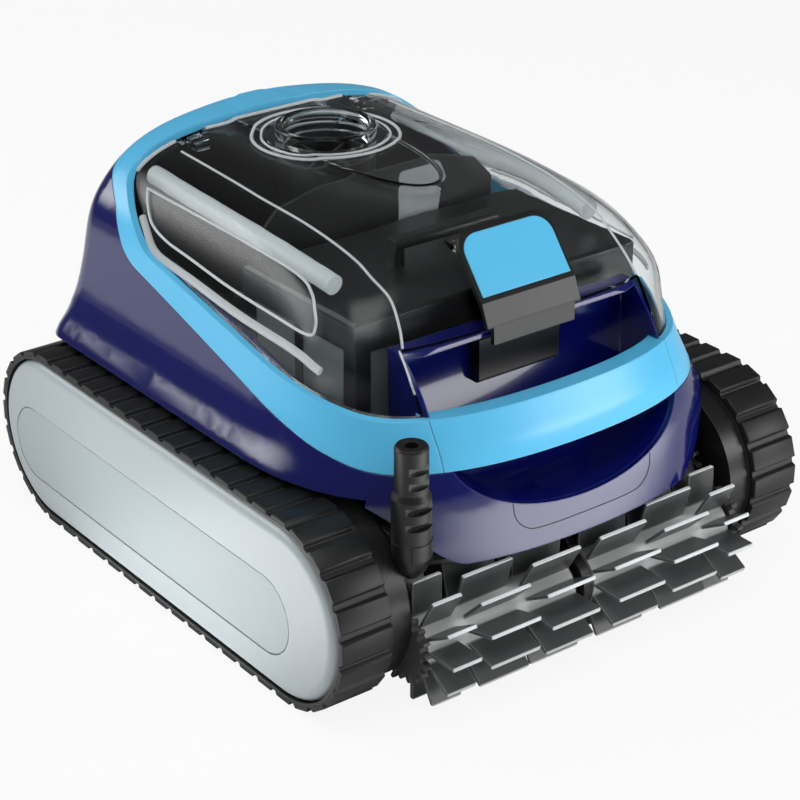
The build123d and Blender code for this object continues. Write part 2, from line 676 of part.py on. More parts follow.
def chassis_tray():
    """Lower tub with a suction slot, shelves over the tracks and cradles for the drive motors."""
    tray = block((-TRAY_HALF, TRAY_HALF), TRAY_Y, TRAY_Z)
    inside = TRAY_HALF - WALL
    tray -= block((-inside, inside), (TRAY_Y[0] + WALL, TRAY_Y[1] - WALL), (TRAY_Z[0] + WALL, FAR))
    tray -= block((-INLET_HALF, INLET_HALF), INLET_Y, (0, 40))
    tray -= block((-106.0, 106.0), (TRAY_Y[0] - 1, TRAY_Y[0] + 10), (106.0, FAR))
    shelf = block((-SHELF_HALF, SHELF_HALF), (-95.0, 172.0), SHELF_Z) & hull(WALL + 0.4)
    tray += shelf - block((-TRAY_HALF + 1, TRAY_HALF - 1), (-FAR, FAR), (0, FAR))
    for side in (-1, 1):
        for x in (40.0, 85.0):
            reach = (REAR_AXLE_Y - DRIVE_MOTOR_R - 2, REAR_AXLE_Y + DRIVE_MOTOR_R + 2)
            cradle = block((side * x - 2, side * x + 2), reach, (TRAY_Z[0] + 1, CRADLE_TOP_Z))
            tray += cradle - rod_x(DRIVE_MOTOR_R + 0.1, REAR_AXLE_Y, AXLE_Z, -inside, inside)
        s0, s1 = sorted((side * (inside - 5), side * FAR))
        tray -= rod_x(SHAFT_R + 2.0, REAR_AXLE_Y, AXLE_Z, s0, s1)
    return tray


def filter_panels(x_gap, thick):
    """Mesh panels for the four sides of the filter; a thick set with no gap cuts their windows."""
    y0, y1 = FILTER_Y
    tall = (52.0 + x_gap, 206.0 - x_gap)
    deep = (-thick / 2, thick / 2)
    panels = []
    for x in (-FILTER_HALF + WALL / 2, FILTER_HALF - WALL / 2):
        for low, high in ((y0 + 12, -49.0), (-41.0, y1 - 12)):
            panels.append(block((x + deep[0], x + deep[1]), (low + x_gap, high - x_gap), tall))
    for y in (y0 + WALL / 2, y1 - WALL / 2):
        for low, high in ((-102.0, -4.0), (4.0, 102.0)):
            panels.append(block((low + x_gap, high - x_gap), (y + deep[0], y + deep[1]), tall))
    return panels


def under_lid():
    """The space near the lid that the filter leaves free."""
    return block((-FAR, FAR), (-FAR, FAR), (FILTER_TRIM_Z, FAR)) - dome(LID_WALL + 2.5)


def filter_frame():
    """Basket frame with windows, an inlet in its floor and ears for the flap pin."""
    frame = block((-FILTER_HALF, FILTER_HALF), FILTER_Y, FILTER_Z)
    inside = FILTER_HALF - WALL
    frame -= block((-inside, inside), (FILTER_Y[0] + WALL, FILTER_Y[1] - WALL), (FILTER_Z[0] + WALL, FAR))
    for window in filter_panels(0.0, 2 * WALL):
        frame -= window
    frame -= block((-INLET_HALF, INLET_HALF), INLET_Y, (0, 60))
    for side in (-1, 1):
        x0, x1 = sorted((side * 69.0, side * 75.0))
        ear = block((x0, x1), (FLAP_PIVOT[0] - 4, FLAP_PIVOT[0] + 4), (FILTER_Z[0] + 1, FLAP_PIVOT[1] + 4))
        frame += ear - rod_x(FLAP_PIN_R + SEAT_GAP, *FLAP_PIVOT, x0 - 1, x1 + 1)
    return frame - under_lid()


def filter_cover():
    """Flat top of the filter with its lifting bar on two posts."""
    top = FILTER_Z[1] + 5
    cover = block((-FILTER_HALF, FILTER_HALF), FILTER_Y, (FILTER_Z[1], top))
    cover = chamfer(cover.faces().sort_by(Axis.Z)[-1].edges(), 2.0)
    bar = block((-42.0, 42.0), (-52.0, -40.0), (top + 12, top + 19))
    cover += fillet(bar.edges().filter_by(Axis.X), 3.0)
    for x in (-38.0, 38.0):
        cover += block((x - 4, x + 4), (-50.0, -42.0), (top - 1, top + 13))
    return cover - under_lid()


def latch_keeper():
    """Black catch on the pocket's back wall, below the latch."""
    back = POCKET_BACK_Y - 0.2
    catch = block((-KEEPER_HALF, KEEPER_HALF), (back - 9, back), (172.0, 204.0))
    catch = fillet(catch.edges().filter_by(Axis.X).sort_by(Axis.Y)[:2], 3.0)
    return catch - (pocket(LINER) - pocket(0))


def intake_flap():
    """Non-return flap over the suction slot, hung on a pin."""
    y, z = FLAP_PIVOT
    flap = block((-66.0, 66.0), (y, INLET_Y[1] + 3), (z - 2.6, z - 0.8)) + rod_x(3.0, y, z, -67.0, 67.0)
    return flap - rod_x(FLAP_PIN_R + RUN_GAP, y, z, -70, 70)


SCREW_PLACES = [(x, y) for x in (-54.0, 54.0) for y in (CASING_Y[0] + 8, CASING_Y[1] - 8)]


def motor_casing():
    """Sealed motor box with screw bosses, a motor pedestal and board posts."""
    x = (-CASING_HALF, CASING_HALF)
    inside = CASING_HALF - WALL
    box = block(x, CASING_Y, CASING_Z)
    box -= block((-inside, inside), (CASING_Y[0] + WALL, CASING_Y[1] - WALL), (CASING_Z[0] + WALL, FAR))
    box += block((-20, 20), (OUTLET_Y - 20, OUTLET_Y + 20), (CASING_Z[0] + 1, 60.0))
    for x, y in SCREW_PLACES:
        box += rod_z(6.0, x, y, 110.0, CASING_Z[1]) & block((-inside - 1, inside + 1), CASING_Y, (0, FAR))
        box -= rod_z(1.7, x, y, 130.0, CASING_Z[1] + 1)
    for x in (-35.0, 35.0):
        box += block((x - 3, x + 3), (CASING_Y[0] + 1, 33.0), (60.0, 66.0))
    return box


def casing_cover():
    """Lid of the motor box with the pump shaft's hole."""
    cover = block((-CASING_HALF, CASING_HALF), CASING_Y, (CASING_Z[1], DUCT_Z[0]))
    cover -= rod_z(PUMP_SHAFT_R + 0.3, 0, OUTLET_Y, 100, 200)
    for x, y in SCREW_PLACES:
        cover -= rod_z(1.9, x, y, 100, 200)
    return cover


def casing_screws():
    """Screws of the motor box lid."""
    screws = []
    for x, y in SCREW_PLACES:
        screws.append(rod_z(3.6, x, y, DUCT_Z[0], DUCT_Z[0] + 2.6) + rod_z(1.6, x, y, 132.0, DUCT_Z[0] + 1))
    return Compound(children=screws)


def pump_motor():
    """Closed pump motor with a blind bore for its shaft."""
    motor = rod_z(PUMP_MOTOR_R, 0, OUTLET_Y, *PUMP_MOTOR_Z)
    return motor - rod_z(PUMP_SHAFT_R + RUN_GAP, 0, OUTLET_Y, PUMP_SHAFT_Z[0] - 0.5, CASING_Z[1])


def pump_duct():
    """Upright pump duct with inlet windows, a foot and guide vanes under the outlet."""
    bore, outer = DUCT_R
    duct = tube_z(outer, bore, 0, OUTLET_Y, *DUCT_Z)
    duct += tube_z(outer + 5, bore, 0, OUTLET_Y, DUCT_Z[0], DUCT_Z[0] + WALL)
    for angle in (0, 90):
        duct -= Pos(0, OUTLET_Y, 176.0) * Rot(0, 0, angle) * Box(32.0, 120.0, 30.0)
    duct += rod_z(HUB_R, 0, OUTLET_Y, *VANE_Z)
    middle = (VANE_Z[0] + VANE_Z[1]) / 2
    for vane in range(VANES):
        place = Pos(0, OUTLET_Y, middle) * Rot(0, 0, 360 * vane / VANES + 30) * Pos(20.0, 0, 0)
        duct += place * Box(24.0, 2.0, VANE_Z[1] - VANE_Z[0])
    return duct


def propeller():
    """Pump propeller: twisted blades on a hub."""
    z0, z1 = PROPELLER_Z
    screw = rod_z(HUB_R, 0, OUTLET_Y, z0, z1)
    for blade in range(BLADES):
        vane = Rot(0, 0, 360 * blade / BLADES) * Pos(18.5, 0, 0) * Rot(35, 0, 0) * Box(23.0, 16.0, 2.0)
        screw += Pos(0, OUTLET_Y, (z0 + z1) / 2) * vane
    screw &= rod_z(PROPELLER_R, 0, OUTLET_Y, z0, z1)
    return screw - rod_z(PUMP_SHAFT_R + SEAT_GAP, 0, OUTLET_Y, z0 - 1, z1 + 1)


def hinge_brackets():
    """Forked brackets on the bulkhead that hold the lid's hinge pins."""
    forks = []
    for side in (-1, 1):
        for inner, outer in ((HINGE_X - 9, HINGE_X - 5.3), (HINGE_X + 5.3, HINGE_X + 9)):
            x0, x1 = sorted((side * inner, side * outer))
            fork = rod_x(KNUCKLE_R, HINGE_Y, HINGE_Z, x0, x1)
            fork += block((x0, x1), (HINGE_Y, BULKHEAD_Y[0]), (HINGE_Z - KNUCKLE_R, HINGE_Z + KNUCKLE_R))
            fork -= HULL - hull(RING_WALL + 0.5)
            forks.append(fork - rod_x(HINGE_PIN_R + SEAT_GAP, HINGE_Y, HINGE_Z, x0 - 1, x1 + 1))
    return Compound(children=forks)


def hinge_pins():
    """Two short lid hinge pins."""
    pins = []
    for side in (-1, 1):
        x0, x1 = sorted((side * (HINGE_X - 9), side * (HINGE_X + 9)))
        pins.append(rod_x(HINGE_PIN_R, HINGE_Y, HINGE_Z, x0, x1))
    return Compound(children=pins)


def handle_pocket(handle):
    """Liner of the hand recess with a roof under the lid front."""
    liner = (pocket(LINER) - pocket(0)) & hull(WALL + 0.3)
    liner &= block((-FAR, FAR), (-FAR, FAR), (0, POCKET_TOP_Z))
    liner -= OVER_UPPER - dome(0.0)
    for lift in (-0.3, 0.0, 0.3):
        liner -= lifted(handle, lift)
    return liner


def build():
    """Every node by name."""
    mesh_angle = pi + acos((FRONT_AXLE_Y - BRUSH_Y) / GEAR_SPAN)
    handle = carry_handle()
    parts = {
        "chassis_tray": chassis_tray(),
        "body_shell": body_shell(),
        "bezel_ring": bezel_ring(),
        "carry_handle": handle,
        "handle_pocket": handle_pocket(handle),
        "gland_arm": gland_foot(),
        "cable_gland": cable_gland(),
        "brush_hood": brush_hood(),
        "brush_bearing": brush_bearing(),
        "brush_axle": rod_x(BRUSH_AXLE_R, BRUSH_Y, BRUSH_Z, -BRUSH_AXLE_END, BRUSH_AXLE_END),
        "motor_casing": motor_casing(),
        "motor_casing_cover": casing_cover(),
        "casing_screws": casing_screws(),
        "pump_motor": pump_motor(),
        "control_board": block((-46.0, 46.0), (33.0, 34.6), (45.0, 120.0)),
        "shaft_seal": tube_z(8.5, PUMP_SHAFT_R + RUN_GAP, 0, OUTLET_Y, DUCT_Z[0], DUCT_Z[0] + 5),
        "pump_duct": pump_duct(),
        "pump_shaft": rod_z(PUMP_SHAFT_R, 0, OUTLET_Y, *PUMP_SHAFT_Z),
        "propeller": propeller(),
        "filter_frame": filter_frame(),
        "filter_mesh": Compound(children=filter_panels(0.1, 1.2)),
        "filter_cover": filter_cover(),
        "latch_keeper": latch_keeper(),
        "intake_flap": intake_flap(),
        "flap_pin": rod_x(FLAP_PIN_R, *FLAP_PIVOT, -75.0, 75.0),
        "lid_shell": lid_shell(),
        "outlet_collar": outlet_collar(),
        "hinge_brackets": hinge_brackets(),
        "hinge_pins": hinge_pins(),
        "latch_lever": latch_lever(),
        "latch_panel": latch_panel(),
        "latch_pin": rod_x(LATCH_PIN_R, *LATCH_PIVOT, -36.5, 36.5),
    }
    motor = rod_x(DRIVE_MOTOR_R, REAR_AXLE_Y, AXLE_Z, *DRIVE_MOTOR_X)
    motor -= rod_x(SHAFT_R + RUN_GAP, REAR_AXLE_Y, AXLE_Z, DRIVE_MOTOR_X[1] - 12.5, DRIVE_MOTOR_X[1] + 1)
    bushes = [tube_x(BUSH_R, SHAFT_R + RUN_GAP, y, AXLE_Z, *FRAME_X) for y in (FRONT_AXLE_Y, REAR_AXLE_Y)]
    paired = {
        "track_frame": track_frame(),
        "track_belt": track_belt(),
        "side_cover": side_cover(),
        "cover_inlay": cover_inlay(),
        "wheel_bushes": Compound(children=bushes),
        "drive_motor": motor,
        "drive_wheel": wheel(REAR_AXLE_Y),
        "drive_shaft": rod_x(SHAFT_R, REAR_AXLE_Y, AXLE_Z, DRIVE_MOTOR_X[1] - 12, WHEEL_X[1] - 1),
        "front_wheel": wheel(FRONT_AXLE_Y),
        "front_shaft": rod_x(SHAFT_R, FRONT_AXLE_Y, AXLE_Z, GEAR_X[0] - 1, WHEEL_X[1] - 1),
        "drive_gear": gear(GEAR_TEETH, mesh_angle, FRONT_AXLE_Y, AXLE_Z, SHAFT_R + SEAT_GAP),
        "brush_gear": gear(BRUSH_GEAR_TEETH, mesh_angle + pi + pi / BRUSH_GEAR_TEETH, BRUSH_Y, BRUSH_Z,
                           BRUSH_AXLE_R + RUN_GAP),
        "brush_core": tube_x(CORE_R, BRUSH_AXLE_R + RUN_GAP, BRUSH_Y, BRUSH_Z, *CORE_X),
        "brush_sleeve": brush_sleeve(),
    }
    for name, shape in paired.items():
        parts.update(both_sides(name, shape))
    return parts


if __name__ == "__main__":
    os.makedirs("parts", exist_ok=True)
    for name, shape in build().items():
        export_step(shape, f"parts/{name}.step")
        size = [round(v, 1) for v in shape.bounding_box().size]
        print(name, size, round(shape.volume), len(shape.solids()))
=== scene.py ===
# %% [markdown]
# A tracked pool cleaner, dressed for a studio picture.
# The CAD frame holds every piece at its real size. This lesson gives those pieces their finishes and
# models what lives from soft edges and thin beads: the belts, the brush paddles and the clear lid's ribs.

# %% Load the frame
import json
import math

import bmesh
import bpy
from mathutils import Matrix, Vector


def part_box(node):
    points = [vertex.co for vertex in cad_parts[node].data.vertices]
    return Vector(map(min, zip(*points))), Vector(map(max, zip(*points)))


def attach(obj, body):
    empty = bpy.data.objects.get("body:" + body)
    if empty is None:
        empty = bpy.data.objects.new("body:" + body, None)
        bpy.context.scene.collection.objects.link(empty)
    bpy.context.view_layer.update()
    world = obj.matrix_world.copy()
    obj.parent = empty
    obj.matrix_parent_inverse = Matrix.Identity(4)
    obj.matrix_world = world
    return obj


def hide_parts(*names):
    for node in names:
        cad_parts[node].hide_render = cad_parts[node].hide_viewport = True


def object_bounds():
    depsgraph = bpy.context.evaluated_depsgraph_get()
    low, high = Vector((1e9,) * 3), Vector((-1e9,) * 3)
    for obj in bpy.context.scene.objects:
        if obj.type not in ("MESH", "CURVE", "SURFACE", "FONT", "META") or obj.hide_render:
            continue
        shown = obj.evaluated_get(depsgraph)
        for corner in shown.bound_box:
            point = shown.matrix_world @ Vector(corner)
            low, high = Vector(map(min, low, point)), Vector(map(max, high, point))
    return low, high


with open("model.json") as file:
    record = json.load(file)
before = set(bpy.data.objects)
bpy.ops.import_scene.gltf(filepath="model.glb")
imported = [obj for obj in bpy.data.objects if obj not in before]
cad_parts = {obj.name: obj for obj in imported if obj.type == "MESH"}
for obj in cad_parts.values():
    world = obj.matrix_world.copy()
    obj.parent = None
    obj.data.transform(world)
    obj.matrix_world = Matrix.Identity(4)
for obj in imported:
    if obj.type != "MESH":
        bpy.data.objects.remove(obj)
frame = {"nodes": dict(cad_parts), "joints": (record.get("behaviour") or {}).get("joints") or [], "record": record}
nodes = frame["nodes"]
cad_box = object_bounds()
axle = {joint["name"]: Vector(joint["pos_m"]) for joint in frame["joints"]}
MM = 0.001
SIDES = (("right", 1), ("left", -1))

# %% [markdown]
# Every finish below starts from a Principled shader. Small functions make the material, wire nodes by
# socket name and build the shared groups, so each finish stays a short recipe.

# %% Material helpers
def new_material(name):
    """A material with one Principled shader on its output."""
    material = bpy.data.materials.new(name)
    material.use_nodes = True
    tree = material.node_tree
    tree.nodes.clear()
    output = tree.nodes.new("ShaderNodeOutputMaterial")
    skin = tree.nodes.new("ShaderNodeBsdfPrincipled")
    tree.links.new(skin.outputs["BSDF"], output.inputs["Surface"])
    return material, tree, skin


def add(tree, kind, **settings):
    """A node with its properties set."""
    node = tree.nodes.new(kind)
    for name, value in settings.items():
        setattr(node, name, value)
    return node


def new_group(name, inputs, outputs):
    """An empty shader group with named sockets."""
    group = bpy.data.node_groups.new(name, "ShaderNodeTree")
    for label, kind, value in inputs:
        socket = group.interface.new_socket(label, in_out="INPUT", socket_type=kind)
        socket.default_value = value
    for label, kind in outputs:
        group.interface.new_socket(label, in_out="OUTPUT", socket_type=kind)
    return group, add(group, "NodeGroupInput"), add(group, "NodeGroupOutput")


FLOAT, COLOUR, VECTOR = "NodeSocketFloat", "NodeSocketColor", "NodeSocketVector"

# %% [markdown]
# Moulded plastic is never one flat colour: the resin clouds a little and the tool leaves a fine spark
# grain. One group makes both from two noises on Object coordinates, and each plastic sets its own values.

# %% Moulded skin group
def moulded_skin_group():
    """Clouded colour, uneven roughness and a fine grain height."""
    group, source, sink = new_group(
        "moulded_skin",
        [("Colour", COLOUR, (0.5, 0.5, 0.5, 1)), ("Cloud Colour", COLOUR, (0.4, 0.4, 0.4, 1)),
         ("Roughness", FLOAT, 0.3), ("Roughness Spread", FLOAT, 0.08), ("Grain Scale", FLOAT, 900.0)],
        [("Colour", COLOUR), ("Roughness", FLOAT), ("Height", FLOAT)])
    place = add(group, "ShaderNodeTexCoord")
    cloud = add(group, "ShaderNodeTexNoise")
    cloud.inputs["Scale"].default_value = 14.0
    cloud.inputs["Detail"].default_value = 3.0
    grain = add(group, "ShaderNodeTexNoise")
    grain.inputs["Detail"].default_value = 2.0
    blend = add(group, "ShaderNodeMix", data_type="RGBA")
    spread = add(group, "ShaderNodeMath", operation="MULTIPLY_ADD")
    link = group.links.new
    link(place.outputs["Object"], cloud.inputs["Vector"])
    link(place.outputs["Object"], grain.inputs["Vector"])
    link(source.outputs["Grain Scale"], grain.inputs["Scale"])
    link(cloud.outputs["Fac"], blend.inputs["Factor"])
    link(source.outputs["Colour"], blend.inputs["A"])
    link(source.outputs["Cloud Colour"], blend.inputs["B"])
    link(blend.outputs["Result"], sink.inputs["Colour"])
    link(cloud.outputs["Fac"], spread.inputs[0])
    link(source.outputs["Roughness Spread"], spread.inputs[1])
    link(source.outputs["Roughness"], spread.inputs[2])
    link(spread.outputs["Value"], sink.inputs["Roughness"])
    link(grain.outputs["Fac"], sink.inputs["Height"])
    return group


MOULDED_SKIN = moulded_skin_group()
print("group", MOULDED_SKIN.name)

# %% [markdown]
# Real edges are rounded and rub paler, and they also carry a painted highlight. The Bevel node gives the rounded
# normal, and where it leaves the true normal behind, the surface is an edge: that difference is the edge mask, for
# rubbing and a painted highlight.

# %% Soft edge group
def soft_edge_group():
    """A normal that rounds every edge, and a mask along the edges."""
    group, source, sink = new_group(
        "soft_edge", [("Radius", FLOAT, 0.8 * MM)], [("Normal", VECTOR), ("Wear And Highlight", FLOAT)])
    bevel = add(group, "ShaderNodeBevel", samples=4)
    geometry = add(group, "ShaderNodeNewGeometry")
    dot = add(group, "ShaderNodeVectorMath", operation="DOT_PRODUCT")
    # Edge mask: rubbing plus a painted highlight along every edge.
    wear_and_highlight = add(group, "ShaderNodeMapRange")
    wear_and_highlight.inputs["From Min"].default_value = 0.99
    wear_and_highlight.inputs["From Max"].default_value = 0.80
    link = group.links.new
    link(source.outputs["Radius"], bevel.inputs["Radius"])
    link(bevel.outputs["Normal"], dot.inputs[0])
    link(geometry.outputs["Normal"], dot.inputs[1])
    link(dot.outputs["Value"], wear_and_highlight.inputs["Value"])
    link(bevel.outputs["Normal"], sink.inputs["Normal"])
    link(wear_and_highlight.outputs["Result"], sink.inputs["Wear And Highlight"])
    return group


SOFT_EDGE = soft_edge_group()
print("group", SOFT_EDGE.name)

# %% [markdown]
# One recipe then serves every moulded finish. The colour clouds between two tones, the edges lean to a third,
# paler tone that is partly rubbing and partly a painted highlight, and the grain rides on the rounded normal
# through a Bump node.

# %% Moulded finish recipe
def moulded(name, colour, cloud, edge, roughness, grain_scale=900.0, grain=0.03, round_mm=0.8, coat=0.0):
    """A moulded plastic or rubber with clouded colour, grain, and edges paled by rubbing and a painted highlight.
    """
    material, tree, skin = new_material(name)
    body = add(tree, "ShaderNodeGroup", node_tree=MOULDED_SKIN)
    body.inputs["Colour"].default_value = (*colour, 1)
    body.inputs["Cloud Colour"].default_value = (*cloud, 1)
    body.inputs["Roughness"].default_value = roughness
    body.inputs["Roughness Spread"].default_value = 0.3 * roughness
    body.inputs["Grain Scale"].default_value = grain_scale
    edges = add(tree, "ShaderNodeGroup", node_tree=SOFT_EDGE)
    edges.inputs["Radius"].default_value = round_mm * MM
    # Paler edge tone, partly rubbing and partly a painted highlight.
    wear_and_highlight_tone = add(tree, "ShaderNodeMix", data_type="RGBA")
    wear_and_highlight_tone.inputs["B"].default_value = (*edge, 1)
    bump = add(tree, "ShaderNodeBump")
    bump.inputs["Strength"].default_value = grain
    bump.inputs["Distance"].default_value = 0.4 * MM
    skin.inputs["Coat Weight"].default_value = coat
    skin.inputs["Coat Roughness"].default_value = 0.04
    link = tree.links.new
    link(body.outputs["Colour"], wear_and_highlight_tone.inputs["A"])
    link(edges.outputs["Wear And Highlight"], wear_and_highlight_tone.inputs["Factor"])
    link(wear_and_highlight_tone.outputs["Result"], skin.inputs["Base Color"])
    link(body.outputs["Roughness"], skin.inputs["Roughness"])
    link(body.outputs["Height"], bump.inputs["Height"])
    link(edges.outputs["Normal"], bump.inputs["Normal"])
    link(bump.outputs["Normal"], skin.inputs["Normal"])
    return material


# %% [markdown]
# The machine uses few plastics: a glossy navy shell, sky blue trim, grey covers, and black for what is
# meant to be overlooked. The numbers are linear colours, and the shell has a clear coat for its deep gloss.

# %% Moulded finishes
# Each finish's third colour is its paler edge tone, partly rubbing and partly a painted highlight.
FINISH = {
    "navy_shell": moulded("navy_shell", (0.002, 0.004, 0.095), (0.003, 0.006, 0.12), (0.012, 0.025, 0.24),
                          0.12, grain=0.008, round_mm=1.4, coat=0.6),
    "sky_trim": moulded("sky_trim", (0.105, 0.56, 0.92), (0.12, 0.60, 0.95), (0.18, 0.68, 0.98),
                        0.26, grain=0.01, round_mm=1.2, coat=0.15),
    # The grey cover's near-white edge tone is mostly a painted highlight along its rounded rim.
    "grey_cover": moulded("grey_cover", (0.40, 0.455, 0.48), (0.43, 0.485, 0.51), (0.8, 0.84, 0.86),
                          0.30, grain=0.02, round_mm=1.0, coat=0.2),
    "grey_inlay": moulded("grey_inlay", (0.375, 0.435, 0.46), (0.40, 0.46, 0.485), (0.62, 0.67, 0.69),
                          0.34, grain=0.02, round_mm=0.8),
    "black_plastic": moulded("black_plastic", (0.007, 0.0075, 0.008), (0.011, 0.0115, 0.012),
                             (0.04, 0.042, 0.044), 0.30, grain=0.05),
    "black_rubber": moulded("black_rubber", (0.007, 0.0075, 0.0078), (0.012, 0.0125, 0.013),
                            (0.07, 0.073, 0.075), 0.38, grain_scale=600.0, grain=0.10, round_mm=0.9),
    "bearing_plastic": moulded("bearing_plastic", (0.05, 0.05, 0.052), (0.07, 0.07, 0.073),
                               (0.12, 0.12, 0.125), 0.4, grain=0.05),
    "motor_metal": moulded("motor_metal", (0.07, 0.07, 0.08), (0.09, 0.09, 0.1), (0.3, 0.3, 0.32),
                           0.35, grain_scale=1500.0, grain=0.08),
    "plate_grey": moulded("plate_grey", (0.30, 0.32, 0.32), (0.34, 0.36, 0.36), (0.6, 0.62, 0.62),
                          0.38, grain_scale=700.0, grain=0.08),
    "board": moulded("board", (0.01, 0.15, 0.06), (0.015, 0.2, 0.08), (0.2, 0.35, 0.15), 0.4, grain=0.06),
}
print("moulded finishes", len(FINISH))

# %% [markdown]
# The paddles are dark rubber moulded on a paler hub, and their pale tips are a painted highlight. The distance
# from the brush axis comes straight from Object coordinates, because each piece sits at the origin.

# %% Paddle rubber
def paddle_rubber(hub_radius, tip_radius):
    """Dark rubber that pales at the hub, with a painted highlight in the last stretch before the paddle's outer
    end.
    """
    material = moulded("paddle_rubber", (0.085, 0.09, 0.092), (0.11, 0.115, 0.118), (0.62, 0.64, 0.65),
                       0.30, grain_scale=700.0, grain=0.06, round_mm=0.7)
    tree = material.node_tree
    skin = next(node for node in tree.nodes if node.type == "BSDF_PRINCIPLED")
    wear_and_highlight_tone = skin.inputs["Base Color"].links[0].from_node
    place = add(tree, "ShaderNodeTexCoord")
    centre = add(tree, "ShaderNodeVectorMath", operation="SUBTRACT")
    centre.inputs[1].default_value = axle["left_brush_spin"]
    flat = add(tree, "ShaderNodeVectorMath", operation="MULTIPLY")
    flat.inputs[1].default_value = (0, 1, 1)
    reach = add(tree, "ShaderNodeVectorMath", operation="LENGTH")
    # Painted highlight: the paddle pales in the last stretch before its outer end.
    tip_highlight_mask = add(tree, "ShaderNodeMapRange")
    tip_highlight_mask.inputs["From Min"].default_value = tip_radius - 1.2 * MM
    tip_highlight_mask.inputs["From Max"].default_value = tip_radius - 0.4 * MM
    pale = add(tree, "ShaderNodeMix", data_type="RGBA")
    pale.inputs["B"].default_value = (0.75, 0.77, 0.78, 1)
    hub = add(tree, "ShaderNodeMapRange")
    hub.inputs["From Min"].default_value = hub_radius + 2.0 * MM
    hub.inputs["From Max"].default_value = hub_radius + 0.3 * MM
    bright = add(tree, "ShaderNodeMix", data_type="RGBA")
    bright.inputs["B"].default_value = (0.55, 0.565, 0.57, 1)
    link = tree.links.new
    link(place.outputs["Object"], centre.inputs[0])
    link(centre.outputs["Vector"], flat.inputs[0])
    link(flat.outputs["Vector"], reach.inputs[0])
    link(reach.outputs["Value"], tip_highlight_mask.inputs["Value"])
    link(tip_highlight_mask.outputs["Result"], pale.inputs["Factor"])
    link(wear_and_highlight_tone.outputs["Result"], pale.inputs["A"])
    link(reach.outputs["Value"], hub.inputs["Value"])
    link(hub.outputs["Result"], bright.inputs["Factor"])
    link(pale.outputs["Result"], bright.inputs["A"])
    link(bright.outputs["Result"], skin.inputs["Base Color"])
    return material


SLEEVE_R, PADDLE_TIP_R = 17.5 * MM, 42.2 * MM
FINISH["paddle_rubber"] = paddle_rubber(SLEEVE_R, PADDLE_TIP_R)
print("paddle tips pale beyond", round(PADDLE_TIP_R / MM, 1), "mm")

# %% [markdown]
# The lid is clear polished plastic. Glass in Cycles stops lamps, so the shader hands shadow rays to a Transparent
# shader and the filter below stays lit.

# %% Clear lid
def clear_plastic(name, tint, shade, rough_most=0.04, clear=1.0):
    """Polished or frosted clear plastic that lets the lamps through."""
    material, tree, skin = new_material(name)
    skin.inputs["Base Color"].default_value = (*tint, 1)
    skin.inputs["Transmission Weight"].default_value = clear
    skin.inputs["IOR"].default_value = 1.25
    place = add(tree, "ShaderNodeTexCoord")
    haze = add(tree, "ShaderNodeTexNoise")
    haze.inputs["Scale"].default_value = 40.0
    rough = add(tree, "ShaderNodeMapRange")
    rough.inputs["To Min"].default_value = 0.5 * rough_most
    rough.inputs["To Max"].default_value = rough_most
    lamp = add(tree, "ShaderNodeBsdfTransparent")
    lamp.inputs["Color"].default_value = (*shade, 1)
    path = add(tree, "ShaderNodeLightPath")
    choose = add(tree, "ShaderNodeMixShader")
    output = skin.outputs["BSDF"].links[0].to_node
    link = tree.links.new
    link(place.outputs["Object"], haze.inputs["Vector"])
    link(haze.outputs["Fac"], rough.inputs["Value"])
    link(rough.outputs["Result"], skin.inputs["Roughness"])
    link(path.outputs["Is Shadow Ray"], choose.inputs["Fac"])
    link(skin.outputs["BSDF"], choose.inputs[1])
    link(lamp.outputs["BSDF"], choose.inputs[2])
    link(choose.outputs["Shader"], output.inputs["Surface"])
    return material


FINISH["clear_lid"] = clear_plastic("clear_lid", (0.93, 0.95, 0.955), (0.85, 0.87, 0.88))
# On the lid this pale frosted finish paints highlight lines along the beads and a reflection band on each
# shoulder.
FINISH["frosted_edge"] = clear_plastic("frosted_edge", (0.80, 0.83, 0.84), (0.8, 0.82, 0.83), 0.3, 0.45)
print("clear finishes", FINISH["clear_lid"].name, FINISH["frosted_edge"].name)

# %% [markdown]
# The filter panels are a fine woven screen. Two crossed wave textures make its threads, about half a
# millimetre apart, and the same waves feed the bump.

# %% Filter screen
def filter_screen():
    """Grey woven mesh."""
    material, tree, skin = new_material("filter_fabric")
    place = add(tree, "ShaderNodeTexCoord")
    link = tree.links.new
    waves = []
    for direction in ("Y", "Z"):
        wave = add(tree, "ShaderNodeTexWave", bands_direction=direction)
        wave.inputs["Scale"].default_value = 320.0
        wave.inputs["Distortion"].default_value = 0.3
        link(place.outputs["Object"], wave.inputs["Vector"])
        waves.append(wave)
    thread = add(tree, "ShaderNodeMath", operation="MAXIMUM")
    tone = add(tree, "ShaderNodeMix", data_type="RGBA")
    tone.inputs["A"].default_value = (0.10, 0.11, 0.11, 1)
    tone.inputs["B"].default_value = (0.20, 0.215, 0.21, 1)
    bump = add(tree, "ShaderNodeBump")
    bump.inputs["Strength"].default_value = 0.3
    bump.inputs["Distance"].default_value = 0.3 * MM
    skin.inputs["Roughness"].default_value = 0.55
    link(waves[0].outputs["Fac"], thread.inputs[0])
    link(waves[1].outputs["Fac"], thread.inputs[1])
    link(thread.outputs["Value"], tone.inputs["Factor"])
    link(tone.outputs["Result"], skin.inputs["Base Color"])
    link(thread.outputs["Value"], bump.inputs["Height"])
    link(bump.outputs["Normal"], skin.inputs["Normal"])
    return material


FINISH["filter_fabric"] = filter_screen()
print("woven finish", FINISH["filter_fabric"].name)

# %% [markdown]
# Shafts and pins are turned steel. A noise that is stretched across the axle leaves fine lines, as a lathe
# does. With the last finish made, each node takes the one that its record names.

